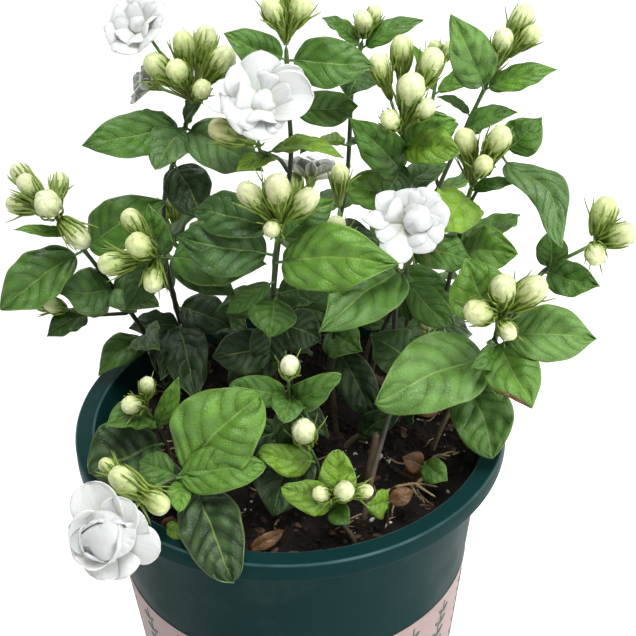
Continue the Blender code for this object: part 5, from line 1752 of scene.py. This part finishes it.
# %% Petal rows
petal_rows = {
    "bloom_centre": (
        (187, 25, 8, 48, 88, -0.4, 0.3), (165, 23, 9, 45, 86, -0.4, 0.2), (33, 24, 14, 40, 78, 0.5, 0.0),
        (262, 20, 17, 46, 86, -0.5, 0.0), (288, 17, 14, 46, 80, -0.5, 0.0), (138, 22, 17, 36, 76, -0.6, 0.0),
        (94, 24, 18, 32, 70, -0.7, 0.0), (357, 25, 21, 42, 76, 0.4, 0.0), (196, 20, 22, 48, 78, -0.8, 0.0),
        (226, 17, 17, 48, 80, -0.8, 0.0), (315, 16, 18, 52, 62, -0.8, 0.0), (262, 14, 16, 44, 40, -0.8, 0.0),
        (74, 14, 17, 40, 36, -0.8, 0.0), (15, 15, 17, 44, 44, -0.8, 0.0), (172, 14, 16, 42, 40, -0.8, 0.0),
    ),
    "bloom_right": (
        (143, 19, 13, 48, 92, -0.5, 0.35), (180, 22, 9, 50, 92, -0.4, 0.6), (208, 17, 13, 50, 92, -0.5, 0.1),
        (246, 22, 15, 50, 92, -0.5, 0.0), (80, 15, 17, 42, 82, -0.6, 0.0), (40, 18, 16, 44, 86, -0.6, 0.0),
        (5, 19, 15, 46, 88, -0.6, 0.0), (330, 18, 14, 46, 86, -0.6, 0.1), (300, 18, 14, 48, 88, -0.6, 0.2),
        (62, 13, 14, 46, 66, -0.7, 0.0), (350, 14, 14, 50, 72, -0.7, 0.0), (292, 13, 13, 50, 72, -0.7, 0.0),
        (150, 12, 13, 50, 56, -0.8, 0.0),
    ),
    "bloom_front_left": (
        (106, 27, 22, 46, 98, 0.2, 0.0), (62, 20, 18, 46, 96, 0.2, 0.0), (346, 25, 17, 52, 94, -0.5, 0.0),
        (20, 20, 17, 50, 88, -0.4, 0.0), (292, 20, 19, 52, 84, -0.5, 0.0), (252, 20, 20, 50, 80, -0.5, 0.0),
        (208, 19, 20, 50, 70, 0.5, 0.0), (165, 19, 19, 50, 70, 0.5, 0.0), (215, 20, 20, 60, -14, 0.8, 0.0),
        (95, 19, 20, 60, -14, 0.8, 0.0), (335, 19, 20, 60, -14, 0.8, 0.0),
    ),
    "bloom_top_left": (
        (175, 18, 18, 42, 82, -0.6, 0.0), (128, 18, 18, 38, 78, -0.6, 0.0), (78, 18, 17, 38, 76, -0.5, 0.0),
        (230, 18, 17, 44, 84, -0.6, 0.0), (300, 17, 15, 44, 86, -0.5, 0.0), (20, 17, 14, 44, 92, -0.4, 0.2),
        (350, 15, 11, 46, 88, -0.4, 0.3), (150, 13, 14, 48, 64, -0.8, 0.0), (40, 13, 13, 48, 64, -0.8, 0.0),
        (270, 13, 13, 48, 64, -0.8, 0.0), (95, 12, 13, 44, 50, -0.8, 0.0), (210, 12, 13, 44, 50, -0.8, 0.0),
        (330, 12, 13, 44, 50, -0.8, 0.0),
    ),
}
HEARTS = {"bloom_centre": (6.0, 8.0, 0.8), "bloom_right": (6.6, 10.5, 3.5),
          "bloom_front_left": (10.9, 18.5, 0.0), "bloom_top_left": (4.4, 8.0, 0.0)}
print(sum(len(rows) for rows in petal_rows.values()), "petals placed by hand")

# %% [markdown]
# ## Blooms
# Each bloom is a short tube with its petals and heart on top. The two blooms that the photograph
# hides follow a simple rule: an open ring, a half-open ring and three petals closed over the heart.
# A live Solidify gives the thin sheets their thickness.

# %% Blooms
PETAL_SEED = 23
PETAL_SHEET = 0.35
OUTER_RING = 6
HALF_OPEN_RING = 5
CLOSED_RING = 3


def ruled_rows(radius):
    """Rows of a bloom that follow a rule: an open ring, a half-open ring and a closed heart."""
    rows = [(360 * index / OUTER_RING, 1.1 * radius, 0.95 * radius, 44, 86, -0.5, 0.0)
            for index in range(OUTER_RING)]
    rows += [(360 * (index + 0.5) / HALF_OPEN_RING, 0.85 * radius, 0.85 * radius, 44, 66, -0.7, 0.0)
             for index in range(HALF_OPEN_RING)]
    rows += [(360 * index / CLOSED_RING + 20, 0.7 * radius, 0.7 * radius, 60, -45, 0.9, 0.0)
             for index in range(CLOSED_RING)]
    return rows


rng = random.Random(PETAL_SEED)
for name, bloom in blooms.items():
    face = Vector(bloom["face"]).normalized()
    radius = bloom["radius"]
    foot = Vector(bloom["centre"]) - face * radius * BLOOM_FOOT
    bm = bmesh.new()
    tube_top = radius * 0.30
    path = [foot + face * tube_top * step / 6 for step in range(7)]
    add_tube(bm, path, [0.0, 1.5, 1.7, 1.9, 2.3, 2.6, 0.0], 12, finish=1)
    rows = petal_rows.get(name) or ruled_rows(radius)
    for order, row in enumerate(rows):
        depth = tube_top * (0.55 + 0.7 * order / len(rows))
        add_petal(bm, foot + face * depth, face, row, rng)
    heart_radius, heart_long, shift = HEARTS.get(name, (0.24 * radius, 0.7 * radius, 0.0))
    heart_foot = foot + face * tube_top * 0.8 + Vector((shift, 0.0, 0.0))
    add_heart(bm, heart_foot, face, heart_radius, heart_long)
    petals = piece_from(bm, name + "_petals", [petal_white, tube_cream], "petals", name)
    give_thickness(petals, PETAL_SHEET)
    print(name, len(rows), "petals")

# %% [markdown]
# ## Fallen leaves
# Dead leaves lie on the soil between the stems, and one small green leaf lies curled on the rim.
# They reuse the blade, the dead ones with the dry look, so they carry the same veins as the living
# ones.

# %% Fallen leaves
LITTER_SEED = 41
LITTER_SHEET = 0.35
LITTER_LEAVES = (
    ((52, -32, 176), (68, -42, 181), 6, 66, "dry"), ((-20, -84, 176), (-3, -78, 182), 6.5, 62, "dry"),
    ((-60, -70, 180), (-44, -77, 183), 10, 70, "dry"), ((32, -50, 176), (20, -40, 180), 5, 50, "dry"),
    ((-30, -30, 177), (-42, -24, 179), 12, 30, "dry"), ((60, 10, 177), (74, 18, 178), 13, 20, "dry"),
    ((-56, -80, 187.4), (-44, -85, 188.6), 10, 70, "young"),
    ((-20, 60, 177), (-34, 70, 178), 12, -20, "dry"), ((30, 72, 177), (16, 78, 179), 12, -20, "dry"),
)

rng = random.Random(LITTER_SEED)
bm = bmesh.new()
for start, tip, width, lean, look in LITTER_LEAVES:
    row = leaf(0.0, tip, width, lean, look, 0.8, 0.7)
    surface, vein_row, length = blade_surface(row, Vector(start), 0.6, rng)
    add_blade(bm, row, surface, vein_row, length)
litter = piece_from(bm, "litter_leaves", leafy, "leafy_stems")
give_thickness(litter, LITTER_SHEET, two_faced=True)
print(len(LITTER_LEAVES), "fallen leaves")

# %% [markdown]
# ## Straw and forked twigs
# Short dry straws lie all over the soil, and one forked twig lies by the rim at the right. A straw
# follows a gently bent line on the soil's surface, with one end lifted a little, and both are thin
# tubes.

# %% Straw and forked twigs
STRAWS = 70
STRAW_ROWS = 6
STRAW_TONES = ((0.3, (0.150, 0.090, 0.050)), (0.7, (0.420, 0.330, 0.170)))
FORKS = (
    ((47, -45, 177), (58, -46, 180), (69, -50, 181)), ((58, -46, 180), (66, -42, 183), (71, -41, 184)),
    ((58, -46, 180), (62, -52, 181), (67, -56, 180)), ((47, -45, 177), (41, -52, 177), (39, -58, 176)),
)

straw, tree, shader = new_finish("straw", 0.8)
straw_tone = ramp(tree, speckle(tree, 120.0, 3.0), STRAW_TONES)
wire(tree, shader, straw_tone, speckle(tree, 900.0, 3.0), 0.2, 0.5)
bm = bmesh.new()
for index in range(STRAWS):
    angle = rng.uniform(0.0, math.tau)
    reach = (SOIL_EDGE - 12.0) * math.sqrt(rng.random())
    heading = Vector((math.cos(angle * 3.7), math.sin(angle * 3.7), 0.0))
    sideways = heading.cross(Vector((0.0, 0.0, 1.0)))
    middle = Vector((reach * math.cos(angle), reach * math.sin(angle), 0.0))
    long = rng.uniform(5.0, 17.0)
    rise = rng.uniform(0.0, 2.5)
    path = []
    for step in range(STRAW_ROWS + 1):
        share = step / STRAW_ROWS - 0.5
        point = middle + heading * long * share + sideways * math.sin(5 * share + index)
        point.z = soil_height(point.x, point.y) + 0.4 + rise * max(0.0, share) * 2.0
        path.append(point)
    size = rng.uniform(0.25, 0.6)
    add_tube(bm, path, [0.0, size, size, size, size, 0.8 * size, 0.0], 5)
for row in FORKS:
    path = [point for _, point in smooth_path(row, 4)]
    add_tube(bm, path, [0.0] + [0.9 - 0.07 * step for step in range(1, len(path) - 1)] + [0.0], 6)
piece_from(bm, "litter_twigs", [straw], "leafy_stems")
print(STRAWS + len(FORKS), "straws and twigs")

# %% [markdown]
# ## A cut stem
# A short, woody stump of an old stem stands between the front stems. It is one more tube with the
# bark's finish and the age of old wood, and its radius is waved in three lobes that turn with its
# height.

# %% Cut stem
STUMP = ((36, -39, 168), (37, -37, 180), (39, -33, 190), (41, -30, 199))
STUMP_SIDES = 12
OLD_WOOD = 1.0


def lobed(turn, share):
    """Three low lobes round the stump that turn with its height."""
    return 1.0 + 0.12 * math.cos(3 * turn + 5 * share)


stump = bmesh.new()
age = float_layer(stump, "age")
path = [point for _, point in smooth_path(STUMP, 5)]
sizes = [0.0] + [2.1 - 0.04 * step for step in range(1, len(path) - 1)] + [0.0]
add_tube(stump, path, sizes, STUMP_SIDES, shape=lobed, paint=storing(age, OLD_WOOD))
stump_piece = piece_from(stump, "woody_stump", [stem_skin], "leafy_stems")
print("stump", round(stump_piece.dimensions.z / MM), "mm high")
